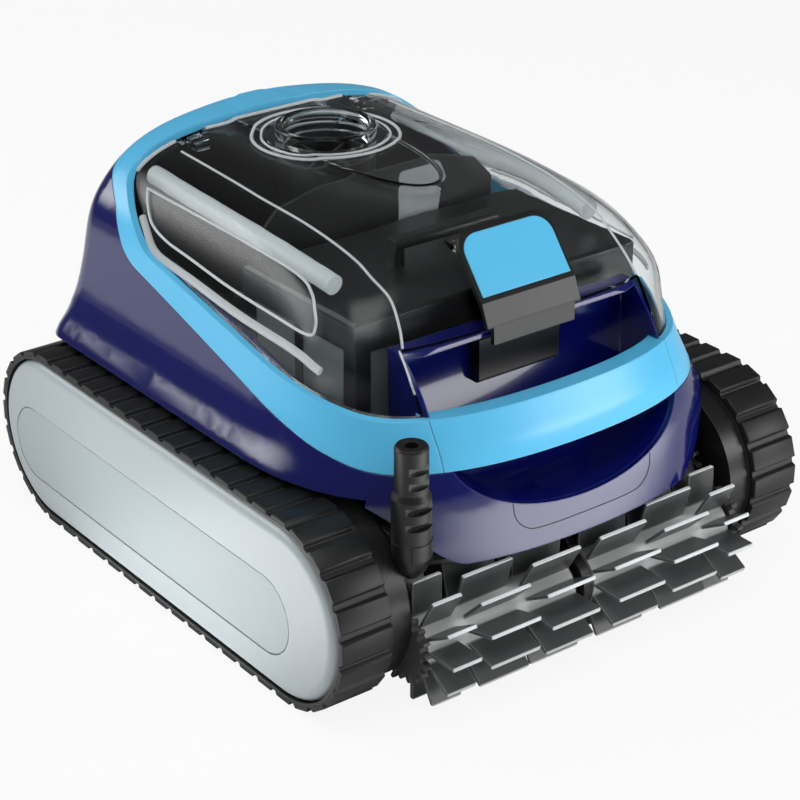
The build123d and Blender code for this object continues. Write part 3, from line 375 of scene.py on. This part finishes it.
# %% Steel, and a finish for every node
def turned_steel():
    """Bright steel with fine turning lines along its length."""
    material, tree, skin = new_material("steel")
    place = add(tree, "ShaderNodeTexCoord")
    stretch = add(tree, "ShaderNodeMapping")
    stretch.inputs["Scale"].default_value = (2500.0, 60.0, 60.0)
    line = add(tree, "ShaderNodeTexNoise")
    rough = add(tree, "ShaderNodeMapRange")
    rough.inputs["To Min"].default_value = 0.18
    rough.inputs["To Max"].default_value = 0.38
    tone = add(tree, "ShaderNodeMix", data_type="RGBA")
    tone.inputs["A"].default_value = (0.50, 0.50, 0.51, 1)
    tone.inputs["B"].default_value = (0.66, 0.66, 0.67, 1)
    skin.inputs["Metallic"].default_value = 1.0
    link = tree.links.new
    link(place.outputs["Object"], stretch.inputs["Vector"])
    link(stretch.outputs["Vector"], line.inputs["Vector"])
    link(line.outputs["Fac"], rough.inputs["Value"])
    link(line.outputs["Fac"], tone.inputs["Factor"])
    link(rough.outputs["Result"], skin.inputs["Roughness"])
    link(tone.outputs["Result"], skin.inputs["Base Color"])
    return material


FINISH["steel"] = turned_steel()
for subpart in frame["record"]["subparts"]:
    mesh = nodes[subpart["node"]].data
    mesh.materials.clear()
    mesh.materials.append(FINISH[subpart["material_slot"]])

# %% [markdown]
# New pieces are bmesh models that end as plain meshes at the origin. One helper turns a bmesh into a
# piece on its body, and another stamps a small template mesh at many places.

# %% Helpers for new pieces
SHARP_ANGLE = math.radians(35)


def keep(bm, name, body, slot, replaced=(), finish=None):
    """Turns a bmesh into a smooth-shaded piece that rides a body."""
    bmesh.ops.recalc_face_normals(bm, faces=bm.faces)
    mesh = bpy.data.meshes.new(name)
    bm.to_mesh(mesh)
    bm.free()
    mesh.shade_smooth()
    mesh.set_sharp_from_angle(angle=SHARP_ANGLE)
    mesh.materials.append(FINISH[finish or slot])
    piece = bpy.data.objects.new(name, mesh)
    bpy.context.scene.collection.objects.link(piece)
    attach(piece, body)
    if replaced:
        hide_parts(*replaced)
    print(name, len(mesh.polygons), "faces on", body)
    return piece


def template(bm, name):
    """A mesh to stamp; it belongs to no object."""
    bmesh.ops.recalc_face_normals(bm, faces=bm.faces)
    mesh = bpy.data.meshes.new(name)
    bm.to_mesh(mesh)
    bm.free()
    return mesh


def stamp(bm, mesh, matrix):
    """Adds a copy of a template at a place."""
    start = len(bm.verts)
    bm.from_mesh(mesh)
    bm.verts.ensure_lookup_table()
    bmesh.ops.transform(bm, matrix=matrix, verts=bm.verts[start:])


def rounded(bm, edges, offset, segments):
    """Bevels edges with a round profile."""
    bmesh.ops.bevel(bm, geom=list(edges), offset=offset, offset_type="OFFSET", segments=segments,
                    profile=0.5, affect="EDGES", material=-1, clamp_overlap=True)


# %% [markdown]
# A track belt is a flat rubber loop with a wide pad across it at every pitch. The pads are all alike, so
# one tapered, rounded block is modelled once and stamped all the way round.

# %% Belt pad template
BELT_INNER_R, BELT_R, PAD_R = 59.8 * MM, 62.2 * MM, 65.2 * MM
PAD_BASE, PAD_TOP = 16.5 * MM, 13.4 * MM
PAD_SUNK, PAD_ROUND = 0.8 * MM, 0.7 * MM
PADS_ROUND_END, PADS_ON_RUN = 10, 14
belt_low, belt_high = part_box("right_track_belt")
BELT_WIDTH = belt_high.x - belt_low.x


def belt_pad():
    """One pad, its foot sunk a little into the belt."""
    bm = bmesh.new()
    bmesh.ops.create_cube(bm, size=1.0)
    tall = PAD_R - BELT_R + PAD_SUNK
    bmesh.ops.scale(bm, vec=(BELT_WIDTH, PAD_BASE, tall), verts=bm.verts)
    bmesh.ops.translate(bm, vec=(0, 0, PAD_R - tall / 2), verts=bm.verts)
    top = [vert for vert in bm.verts if vert.co.z > BELT_R]
    bmesh.ops.scale(bm, vec=(1, PAD_TOP / PAD_BASE, 1), verts=top)
    rims = [edge for edge in bm.edges if all(vert.co.z > BELT_R for vert in edge.verts)]
    rounded(bm, rims, PAD_ROUND, 2)
    return template(bm, "belt_pad")


PAD = belt_pad()
print("belt pad", len(PAD.polygons), "faces")

# %% [markdown]
# The loop could be a curve with a bevel, but its section has square edges, so it starts as one small
# rectangle: spun round the rear axle, drawn to the front, spun again and closed.

# %% Belts
TURN_STEPS = 28
MERGE_GAP = 0.05 * MM


def track_belt(side, sign):
    """The loop and its pads on one side."""
    rear, front = axle[f"{side}_drive_spin"], axle[f"{side}_front_spin"]
    span = Vector((0, front.y - rear.y, 0))
    middle = sign * (belt_low.x + belt_high.x) / 2
    bm = bmesh.new()
    half = BELT_WIDTH / 2
    corners = [bm.verts.new((middle + x, rear.y, rear.z + r))
               for x, r in ((-half, BELT_INNER_R), (half, BELT_INNER_R), (half, BELT_R), (-half, BELT_R))]
    edges = [bm.edges.new((corners[i], corners[i - 1])) for i in range(4)]
    for centre, run in ((rear, span), (front, -span)):
        turned = bmesh.ops.spin(bm, geom=corners + edges, cent=(0, centre.y, centre.z), axis=(1, 0, 0),
                                angle=-math.pi, steps=TURN_STEPS, use_merge=False)
        edges = [part for part in turned["geom_last"] if isinstance(part, bmesh.types.BMEdge)]
        drawn = bmesh.ops.extrude_edge_only(bm, edges=edges)["geom"]
        corners = [part for part in drawn if isinstance(part, bmesh.types.BMVert)]
        edges = [part for part in drawn if isinstance(part, bmesh.types.BMEdge)
                 and all(vert in corners for vert in part.verts)]
        bmesh.ops.translate(bm, vec=run, verts=corners)
    bmesh.ops.remove_doubles(bm, verts=bm.verts, dist=MERGE_GAP)
    for step in range(PADS_ROUND_END + 1):
        turn = math.pi * step / PADS_ROUND_END
        for centre, start in ((rear, 0.0), (front, math.pi)):
            spot = Matrix.Translation((middle, centre.y, centre.z))
            stamp(bm, PAD, spot @ Matrix.Rotation(-start - turn, 4, "X"))
    for step in range(1, PADS_ON_RUN):
        at = rear.lerp(front, step / PADS_ON_RUN)
        for turn in (0.0, math.pi):
            stamp(bm, PAD, Matrix.Translation((middle, at.y, at.z)) @ Matrix.Rotation(turn, 4, "X"))
    return keep(bm, f"{side}_belt", "chassis", "black_rubber", [f"{side}_track_belt"])


for side, sign in SIDES:
    track_belt(side, sign)

# %% [markdown]
# The brush is a rubber sleeve with staggered columns of stiff paddles. Each paddle is a thin block with
# its two outer corners cut back, stamped round the sleeve, and the sleeve itself is a spun tube.

# %% Brush paddles
SLEEVE_INNER_R = 15.02 * MM
PADDLE_THICK = 2.5 * MM
PADDLE_CORNER, PADDLE_EDGE = 1.6 * MM, 0.35 * MM
PADDLE_ROOT_R = SLEEVE_R - 1.0 * MM
SLEEVE_STEPS = 48
PADDLES = 12
PADDLE_COLUMNS = ((8.0 * MM, 48.0 * MM), (56.0 * MM, 96.0 * MM), (104.0 * MM, 127.0 * MM))


def paddle(length):
    """One paddle that points up, its corners cut back and its edges rounded."""
    bm = bmesh.new()
    bmesh.ops.create_cube(bm, size=1.0)
    bmesh.ops.scale(bm, vec=(length, PADDLE_THICK, PADDLE_TIP_R - PADDLE_ROOT_R), verts=bm.verts)
    bmesh.ops.translate(bm, vec=(0, 0, (PADDLE_TIP_R + PADDLE_ROOT_R) / 2), verts=bm.verts)
    corners = [edge for edge in bm.edges if all(vert.co.z > SLEEVE_R for vert in edge.verts)
               and abs(edge.verts[0].co.x - edge.verts[1].co.x) < 0.1 * MM]
    rounded(bm, corners, PADDLE_CORNER, 2)
    tips = [edge for edge in bm.edges if edge.calc_face_angle(0) > math.radians(60)]
    rounded(bm, tips, PADDLE_EDGE, 1)
    return template(bm, "paddle")


def brush_sleeve(side, sign):
    """One half of the brush."""
    centre = axle[f"{side}_brush_spin"]
    bm = bmesh.new()
    start, end = PADDLE_COLUMNS[0][0], PADDLE_COLUMNS[-1][1]
    wall = [bm.verts.new((sign * x, centre.y, centre.z + r)) for x, r in
            ((start, SLEEVE_INNER_R), (end, SLEEVE_INNER_R), (end, SLEEVE_R), (start, SLEEVE_R))]
    edges = [bm.edges.new((wall[i], wall[i - 1])) for i in range(4)]
    bmesh.ops.spin(bm, geom=wall + edges, cent=centre, axis=(1, 0, 0), angle=2 * math.pi,
                   steps=SLEEVE_STEPS, use_merge=True)
    for column, (x0, x1) in enumerate(PADDLE_COLUMNS):
        shape = paddle(x1 - x0)
        for step in range(PADDLES):
            turn = 2 * math.pi * (step + 0.5 * (column % 2)) / PADDLES + math.pi / 2
            spot = Matrix.Translation((sign * (x0 + x1) / 2, centre.y, centre.z))
            stamp(bm, shape, spot @ Matrix.Rotation(turn, 4, "X"))
    return keep(bm, f"{side}_brush_paddles", f"{side}_brush", "paddle_rubber", [f"{side}_brush_sleeve"])


for side, sign in SIDES:
    brush_sleeve(side, sign)

# %% [markdown]
# Thin beads stiffen the lid and catch the light, and their pale frosted finish paints the bright highlight lines
# along them. A curve object with a bevel would do, but beads on a dished lid have to lie on it. So a smooth path
# through a few points is settled on the lid's own surface, and a small ring is carried along that path.

# %% Bead helpers
def smooth_path(points, steps=6):
    """A curve through points given in millimetres."""
    line = [Vector(point) * MM for point in points]
    line = [2 * line[0] - line[1], *line, 2 * line[-1] - line[-2]]
    path = []
    for a, b, c, d in zip(line, line[1:], line[2:], line[3:]):
        for step in range(steps):
            t = step / steps
            path.append(0.5 * (2 * b + (c - a) * t + (2 * a - 5 * b + 4 * c - d) * t ** 2
                               + (3 * b - a - 3 * c + d) * t ** 3))
    return [*path, line[-2]]


def settle(path, node, lift=0.0):
    """Moves a path onto a node's surface, raised along its normal."""
    settled = []
    for point in path:
        _, spot, normal, _ = nodes[node].closest_point_on_mesh(point)
        settled.append(spot + lift * normal)
    return settled


def bead(bm, path, radius, segments=8):
    """A round bead along a path, closed at both ends."""
    heading = (path[1] - path[0]).normalized()
    turn = heading.to_track_quat("Z", "Y")
    place = Matrix.Translation(path[0]) @ turn.to_matrix().to_4x4()
    ring = bmesh.ops.create_circle(bm, cap_ends=True, radius=radius, segments=segments, matrix=place)
    edges = list(ring["verts"][0].link_faces[0].edges)
    for index in range(1, len(path)):
        ahead = (path[min(index + 1, len(path) - 1)] - path[index - 1]).normalized()
        turn = heading.rotation_difference(ahead) @ turn
        heading = ahead
        after = Matrix.Translation(path[index]) @ turn.to_matrix().to_4x4()
        drawn = bmesh.ops.extrude_edge_only(bm, edges=edges)["geom"]
        verts = [part for part in drawn if isinstance(part, bmesh.types.BMVert)]
        edges = [part for part in drawn if isinstance(part, bmesh.types.BMEdge)
                 and all(vert in verts for vert in part.verts)]
        bmesh.ops.transform(bm, matrix=after @ place.inverted(), verts=verts)
        place = after
    bmesh.ops.contextual_create(bm, geom=edges)


# %% [markdown]
# Four kinds of bead are on the lid: the crease over each shoulder, the frame of each side window, the thick
# lower rim and the rings round the outlet. The points are the left side's, in millimetres, and the right
# side mirrors them. The rear rim is in three stretches, because each hinge needs its gap when the lid opens.

# %% Lid beads
CREASE = ((-88, 128, 265.3), (-89.2, 92, 265), (-90.5, 60, 264.7), (-92, 24, 264), (-91.6, -19, 262),
          (-91.3, -50, 258.5), (-91, -77, 253.7), (-91.5, -93, 248), (-90, -109, 239.5),
          (-92.7, -121.6, 226), (-95.5, -128.5, 215))
WINDOW = ((-118.8, 123.6, 247.3), (-118.8, 96, 247.3), (-118.8, 59, 247.3), (-119.1, 0, 247),
          (-118.8, -53, 244.3), (-121.6, -71, 239), (-126, -81, 231), (-129.8, -86.5, 224.7),
          (-133.7, -84, 218.7), (-134.7, -51, 219.3), (-134.1, 3, 220.7), (-132.5, 52, 224),
          (-131.5, 81, 226), (-129.2, 102, 230.7), (-124.4, 115, 239.3), (-118.8, 123.6, 247.3))
RIM = ((-131, 119, 227), (-134.3, 108, 220.3), (-136.5, 85, 215.7), (-137.5, 42, 213), (-138.9, -16, 209),
       (-139, -75, 207), (-136.3, -100, 200.7))
BEADS = ((CREASE, 0.9), (WINDOW, 1.0), (RIM, 2.8))
lid_highlight_beads = bmesh.new()
for points, size in BEADS:
    for side, sign in SIDES:
        path = smooth_path([(-sign * x, y, z) for x, y, z in points])
        bead(lid_highlight_beads, settle(path, "lid_shell"), size * MM)

OUTLET_RINGS = ((44.5, 0.9), (51.0, 1.2))
OUTLET_TOP_Z = 273 * MM
outlet = axle["propeller_spin"]
for reach, size in OUTLET_RINGS:
    turns = [math.radians(angle) for angle in range(0, 361, 8)]
    ring = [outlet + reach * MM * Vector((math.cos(turn), math.sin(turn), 0)) for turn in turns]
    ring = [Vector((spot.x, spot.y, OUTLET_TOP_Z)) for spot in ring]
    bead(lid_highlight_beads, settle(ring, "lid_shell"), size * MM)

REAR_RIM_Y, REAR_RIM_SIZE = 144.5, 1.5
REAR_CORNER = ((113, 252.5), (104, 259), (92, 263.9), (82.5, 266.5))
REAR_MIDDLE = ((57.5, 270.6), (33, 272.3), (0, 272.8), (-33, 272.3), (-57.5, 270.6))
MIRRORED_CORNER = tuple((-x, z) for x, z in REAR_CORNER)
for stretch in (REAR_CORNER, REAR_MIDDLE, MIRRORED_CORNER):
    path = smooth_path([(x, REAR_RIM_Y, z) for x, z in stretch])
    bead(lid_highlight_beads, settle(path, "lid_shell"), REAR_RIM_SIZE * MM)
# The beads' pale frosted finish is a painted highlight along the lid's ribs and rims.
keep(lid_highlight_beads, "lid_highlight_beads", "lid", "clear_lid", finish="frosted_edge")

# %% [markdown]
# Seen through the lid, the machine is dark. The navy bulkhead at the rear would shine through it, so its front
# face is copied, moved a little forward and made black, a sheet of painted shade. Copying faces fits better than a
# new plate.

# %% Painted shade over the bulkhead
SCREEN_GAP = 0.4 * MM
SAME_PLANE = 0.3 * MM
FACES_FRONT = -0.99
BULKHEAD_FROM_Y, BULKHEAD_FROM_Z = 100 * MM, 200 * MM


def rear_painted_shade():
    """The bulkhead's front face again, a little further forward, in black as painted shade."""
    bm = bmesh.new()
    bm.from_mesh(nodes["body_shell"].data)
    bm.normal_update()
    middles = {face: face.calc_center_median() for face in bm.faces if face.normal.y < FACES_FRONT}
    front = min(spot.y for spot in middles.values() if spot.z > BULKHEAD_FROM_Z and spot.y > BULKHEAD_FROM_Y)
    rest = [face for face in bm.faces if face not in middles or abs(middles[face].y - front) > SAME_PLANE]
    bmesh.ops.delete(bm, geom=rest, context="FACES")
    bmesh.ops.translate(bm, vec=(0, -SCREEN_GAP, 0), verts=bm.verts)
    return keep(bm, "rear_painted_shade", "chassis", "black_plastic")


rear_painted_shade()

# %% [markdown]
# A black shroud stands behind the filter, round the pump duct, with a pale window in it. The shroud is one
# drawn outline with a wall's thickness, and the window is a thin block with rounded corners.

# %% Pump shroud
SHROUD_OUTLINE = ((-98, 156), (98, 156), (98, 238), (82, 254), (45, 262), (-45, 262), (-82, 254), (-98, 238))
SHROUD_Y, SHROUD_WALL = 22.0 * MM, 2.5 * MM
PANE_SIZE = Vector((34, 0.8, 52)) * MM
PANE_MIDDLE = Vector((33, 21.7, 231)) * MM
PANE_CORNER = 4 * MM


def pump_shroud():
    """A dark wall behind the filter that hides the pump duct's foot."""
    bm = bmesh.new()
    wall = bm.faces.new([bm.verts.new((x * MM, SHROUD_Y, z * MM)) for x, z in SHROUD_OUTLINE])
    drawn = bmesh.ops.extrude_face_region(bm, geom=[wall])["geom"]
    back = [part for part in drawn if isinstance(part, bmesh.types.BMVert)]
    bmesh.ops.translate(bm, vec=(0, SHROUD_WALL, 0), verts=back)
    return keep(bm, "pump_shroud", "chassis", "black_plastic")


def shroud_window():
    """The pale pane on the front of the shroud."""
    bm = bmesh.new()
    bmesh.ops.create_cube(bm, size=1.0)
    bmesh.ops.scale(bm, vec=PANE_SIZE, verts=bm.verts)
    bmesh.ops.translate(bm, vec=PANE_MIDDLE, verts=bm.verts)
    corners = [edge for edge in bm.edges
               if abs(edge.verts[0].co.y - edge.verts[1].co.y) > PANE_SIZE.y / 2]
    rounded(bm, corners, PANE_CORNER, 3)
    return keep(bm, "shroud_window", "chassis", "filter_fabric", finish="frosted_edge")


pump_shroud()
shroud_window()

# %% [markdown]
# The ribbed guard above the brush is black in the middle and grey at its ends. The ends could be a second
# material on the guard, but its mesh stays as it is, so they are a thin skin of its own upper faces.

# %% Grey ends of the brush guard
GUARD_END_X = 84 * MM
GUARD_SKIN = 0.4 * MM
LOOKS_UP = 0.15


def hood_ends():
    """Grey plates on the brush guard's two ends, a little above its surface."""
    bm = bmesh.new()
    bm.from_mesh(nodes["brush_hood"].data)
    bm.normal_update()
    rest = [face for face in bm.faces if face.normal.z < LOOKS_UP
            or abs(face.calc_center_median().x) < GUARD_END_X]
    bmesh.ops.delete(bm, geom=rest, context="FACES")
    for vert in bm.verts:
        vert.co += GUARD_SKIN * vert.normal
    return keep(bm, "hood_ends", "chassis", "black_plastic", finish="plate_grey")


hood_ends()

# %% [markdown]
# A pale bar runs under each shoulder of the lid, partly a real bar and partly a painted reflection of a softbox on
# the shoulder. It is a thick bead, settled on the lid and then sunk below it. The front apron has one fine dark
# line, a very thin black bead on the shell that paints the shade in a groove.

# %% Lid bars and apron line
BAR = ((-108.8, 138, 256.3), (-109.2, 122, 256), (-111.1, 71, 254.7), (-112.5, 12, 253.7),
       (-111.4, -43, 251), (-108.5, -73, 247.3))
BAR_SUNK, BAR_R = 10.0 * MM, 6.6 * MM
APRON_LINE = ((-57, -190.5, 122), (-55.5, -191.5, 112), (-49, -193, 104.5), (-38, -194.5, 101.5),
              (0, -196, 101.5), (38, -194.5, 101.5), (49, -193, 104.5), (55.5, -191.5, 112),
              (57, -190.5, 122))
APRON_LINE_R = 0.35 * MM
# Frosted bars, partly real and partly a painted reflection along each shoulder.
lid_reflection_bars = bmesh.new()
for side, sign in SIDES:
    path = smooth_path([(-sign * x, y, z) for x, y, z in BAR], 4)
    bead(lid_reflection_bars, settle(path, "lid_shell", -BAR_SUNK), BAR_R, 16)
keep(lid_reflection_bars, "lid_reflection_bars", "lid", "clear_lid", finish="frosted_edge")
# A thin black bead that paints the shade in the apron's groove.
apron_groove_shade = bmesh.new()
bead(apron_groove_shade, settle(smooth_path(APRON_LINE), "body_shell"), APRON_LINE_R, 6)
keep(apron_groove_shade, "apron_groove_shade", "chassis", "black_plastic")

# %% [markdown]
# The studio is a pale floor and a white surround. The surround is white to the camera and through the
# lid, but weaker as a lamp and in reflections, so that the colours render as they are written and the
# glossy skin mirrors mainly the soft lamps.

# %% Rays that see the studio straight
def straight_view(tree):
    """1 for camera rays, also through the lid, and 0 once a ray has bounced off something."""
    path = add(tree, "ShaderNodeLightPath")
    bounces = add(tree, "ShaderNodeMath", operation="ADD")
    direct = add(tree, "ShaderNodeMath", operation="LESS_THAN")
    direct.inputs[1].default_value = 0.5
    through = add(tree, "ShaderNodeMath", operation="MULTIPLY")
    seen = add(tree, "ShaderNodeMath", operation="MAXIMUM")
    link = tree.links.new
    link(path.outputs["Glossy Depth"], bounces.inputs[0])
    link(path.outputs["Diffuse Depth"], bounces.inputs[1])
    link(bounces.outputs["Value"], direct.inputs[0])
    link(direct.outputs["Value"], through.inputs[0])
    link(path.outputs["Is Transmission Ray"], through.inputs[1])
    link(path.outputs["Is Camera Ray"], seen.inputs[0])
    link(through.outputs["Value"], seen.inputs[1])
    return path, seen.outputs["Value"]


# %% [markdown]
# The floor shows mostly its own glow to a straight view, so it is nearly white, and the rest of it is an
# ordinary pale surface that takes the object's shadow.

# %% Floor
FLOOR_HALF = 6.0
FLOOR_GLOW = 0.9


def studio_floor():
    """A wide pale floor that still takes the shadow."""
    bm = bmesh.new()
    bmesh.ops.create_grid(bm, x_segments=1, y_segments=1, size=FLOOR_HALF)
    mesh = bpy.data.meshes.new("floor")
    bm.to_mesh(mesh)
    bm.free()
    material, tree, skin = new_material("floor")
    skin.inputs["Base Color"].default_value = (0.9, 0.9, 0.9, 1)
    skin.inputs["Roughness"].default_value = 0.9
    glow = add(tree, "ShaderNodeEmission")
    _, seen = straight_view(tree)
    share = add(tree, "ShaderNodeMath", operation="MULTIPLY")
    share.inputs[1].default_value = FLOOR_GLOW
    choose = add(tree, "ShaderNodeMixShader")
    output = skin.outputs["BSDF"].links[0].to_node
    link = tree.links.new
    link(seen, share.inputs[0])
    link(share.outputs["Value"], choose.inputs["Fac"])
    link(skin.outputs["BSDF"], choose.inputs[1])
    link(glow.outputs["Emission"], choose.inputs[2])
    link(choose.outputs["Shader"], output.inputs["Surface"])
    mesh.materials.append(material)
    floor = bpy.data.objects.new("floor", mesh)
    bpy.context.scene.collection.objects.link(floor)
    print("floor", 2 * FLOOR_HALF, "m wide")


studio_floor()

# %% [markdown]
# The world is white behind the object and a weak, even lamp otherwise. Mirrored rays get even less of it,
# because a glossy navy shell under a bright sky would look grey.

# %% World
AMBIENT = 0.31
MIRRORED_LESS = 0.20


def studio_world():
    """White to the eye, softer as a lamp."""
    world = bpy.data.worlds.new("studio")
    world.use_nodes = True
    tree = world.node_tree
    tree.nodes.clear()
    output = add(tree, "ShaderNodeOutputWorld")
    white = add(tree, "ShaderNodeBackground")
    ambient = add(tree, "ShaderNodeBackground")
    path, seen = straight_view(tree)
    choose = add(tree, "ShaderNodeMixShader")
    white.inputs["Color"].default_value = (1, 1, 1, 1)
    ambient.inputs["Color"].default_value = (1, 1, 1, 1)
    link = tree.links.new
    mirrored = add(tree, "ShaderNodeMath", operation="MULTIPLY_ADD")
    mirrored.inputs[1].default_value = -MIRRORED_LESS
    mirrored.inputs[2].default_value = AMBIENT
    link(path.outputs["Is Glossy Ray"], mirrored.inputs[0])
    link(mirrored.outputs["Value"], ambient.inputs["Strength"])
    link(seen, choose.inputs["Fac"])
    link(ambient.outputs["Background"], choose.inputs[1])
    link(white.outputs["Background"], choose.inputs[2])
    link(choose.outputs["Shader"], output.inputs["Surface"])
    bpy.context.scene.world = world
    print("world lights with", AMBIENT)


studio_world()

# %% [markdown]
# Three softboxes and two cards on the floor light the object. Their edges fade, as a diffuser's do, so the
# reflections on the glossy shell end softly. Each lamp has its place, what it faces, its size and its watts.

# %% Lamps
def softbox(name, place, target, size, power, feather=0.35):
    """A lamp with feathered edges that faces a target and stays out of the picture."""
    lamp = bpy.data.lights.new(name, "AREA")
    lamp.shape = "RECTANGLE"
    lamp.size, lamp.size_y = size
    lamp.energy = power
    lamp.use_nodes = True
    tree = lamp.node_tree
    glow = next(node for node in tree.nodes if node.type == "EMISSION")
    sheet = add(tree, "ShaderNodeNewGeometry")
    split = add(tree, "ShaderNodeSeparateXYZ")
    edge = add(tree, "ShaderNodeMath", operation="MULTIPLY")
    link = tree.links.new
    link(sheet.outputs["Parametric"], split.inputs["Vector"])
    for index, label in enumerate("XY"):
        inset = add(tree, "ShaderNodeMath", operation="PINGPONG")
        inset.inputs[1].default_value = 0.5
        fade = add(tree, "ShaderNodeMapRange", interpolation_type="SMOOTHSTEP")
        fade.inputs["From Max"].default_value = feather
        link(split.outputs[label], inset.inputs[0])
        link(inset.outputs["Value"], fade.inputs["Value"])
        link(fade.outputs["Result"], edge.inputs[index])
    link(edge.outputs["Value"], glow.inputs["Strength"])
    holder = bpy.data.objects.new(name, lamp)
    bpy.context.scene.collection.objects.link(holder)
    holder.visible_camera = False
    holder.location = place
    holder.rotation_mode = "QUATERNION"
    holder.rotation_quaternion = (Vector(target) - Vector(place)).to_track_quat("-Z", "Y")


middle = (cad_box[0] + cad_box[1]) / 2
softbox("rear_left_box", (-1.06, 1.11, 0.89), middle, (1.5, 1.0), 22)
softbox("front_right_box", (0.98, -1.31, 0.58), middle, (1.3, 0.7), 18)
softbox("top_box", (-0.37, -0.50, 1.61), middle, (1.3, 1.3), 18)
softbox("front_card", (0.20, -0.52, 0.003), (0.20, -0.52, 1.0), (0.9, 0.5), 5)
softbox("left_card", (-0.45, 0.0, 0.003), (-0.45, 0.0, 1.0), (0.7, 0.35), 2)
print("lamps", len(bpy.data.lights))

# %% [markdown]
# The camera stands where the picture was taken from: in front, to the left and above, with a long lens.

# %% Camera
lens = bpy.data.cameras.new("camera")
lens.sensor_width = 36.0
lens.lens = 103.86
lens.clip_start = 0.01
camera = bpy.data.objects.new("camera", lens)
bpy.context.scene.collection.objects.link(camera)
camera.location = (-0.8653, -1.1385, 0.8048)
camera.rotation_mode = "QUATERNION"
camera.rotation_quaternion = Vector((0.543, 0.714, -0.441)).to_track_quat("-Z", "Y")
bpy.context.scene.camera = camera
bpy.context.scene.view_settings.view_transform = "Standard"
print("camera", [round(value, 3) for value in camera.location])

# %% [markdown]
# The view layer is brought up to date.

# %% Update the view layer
bpy.context.view_layer.update()
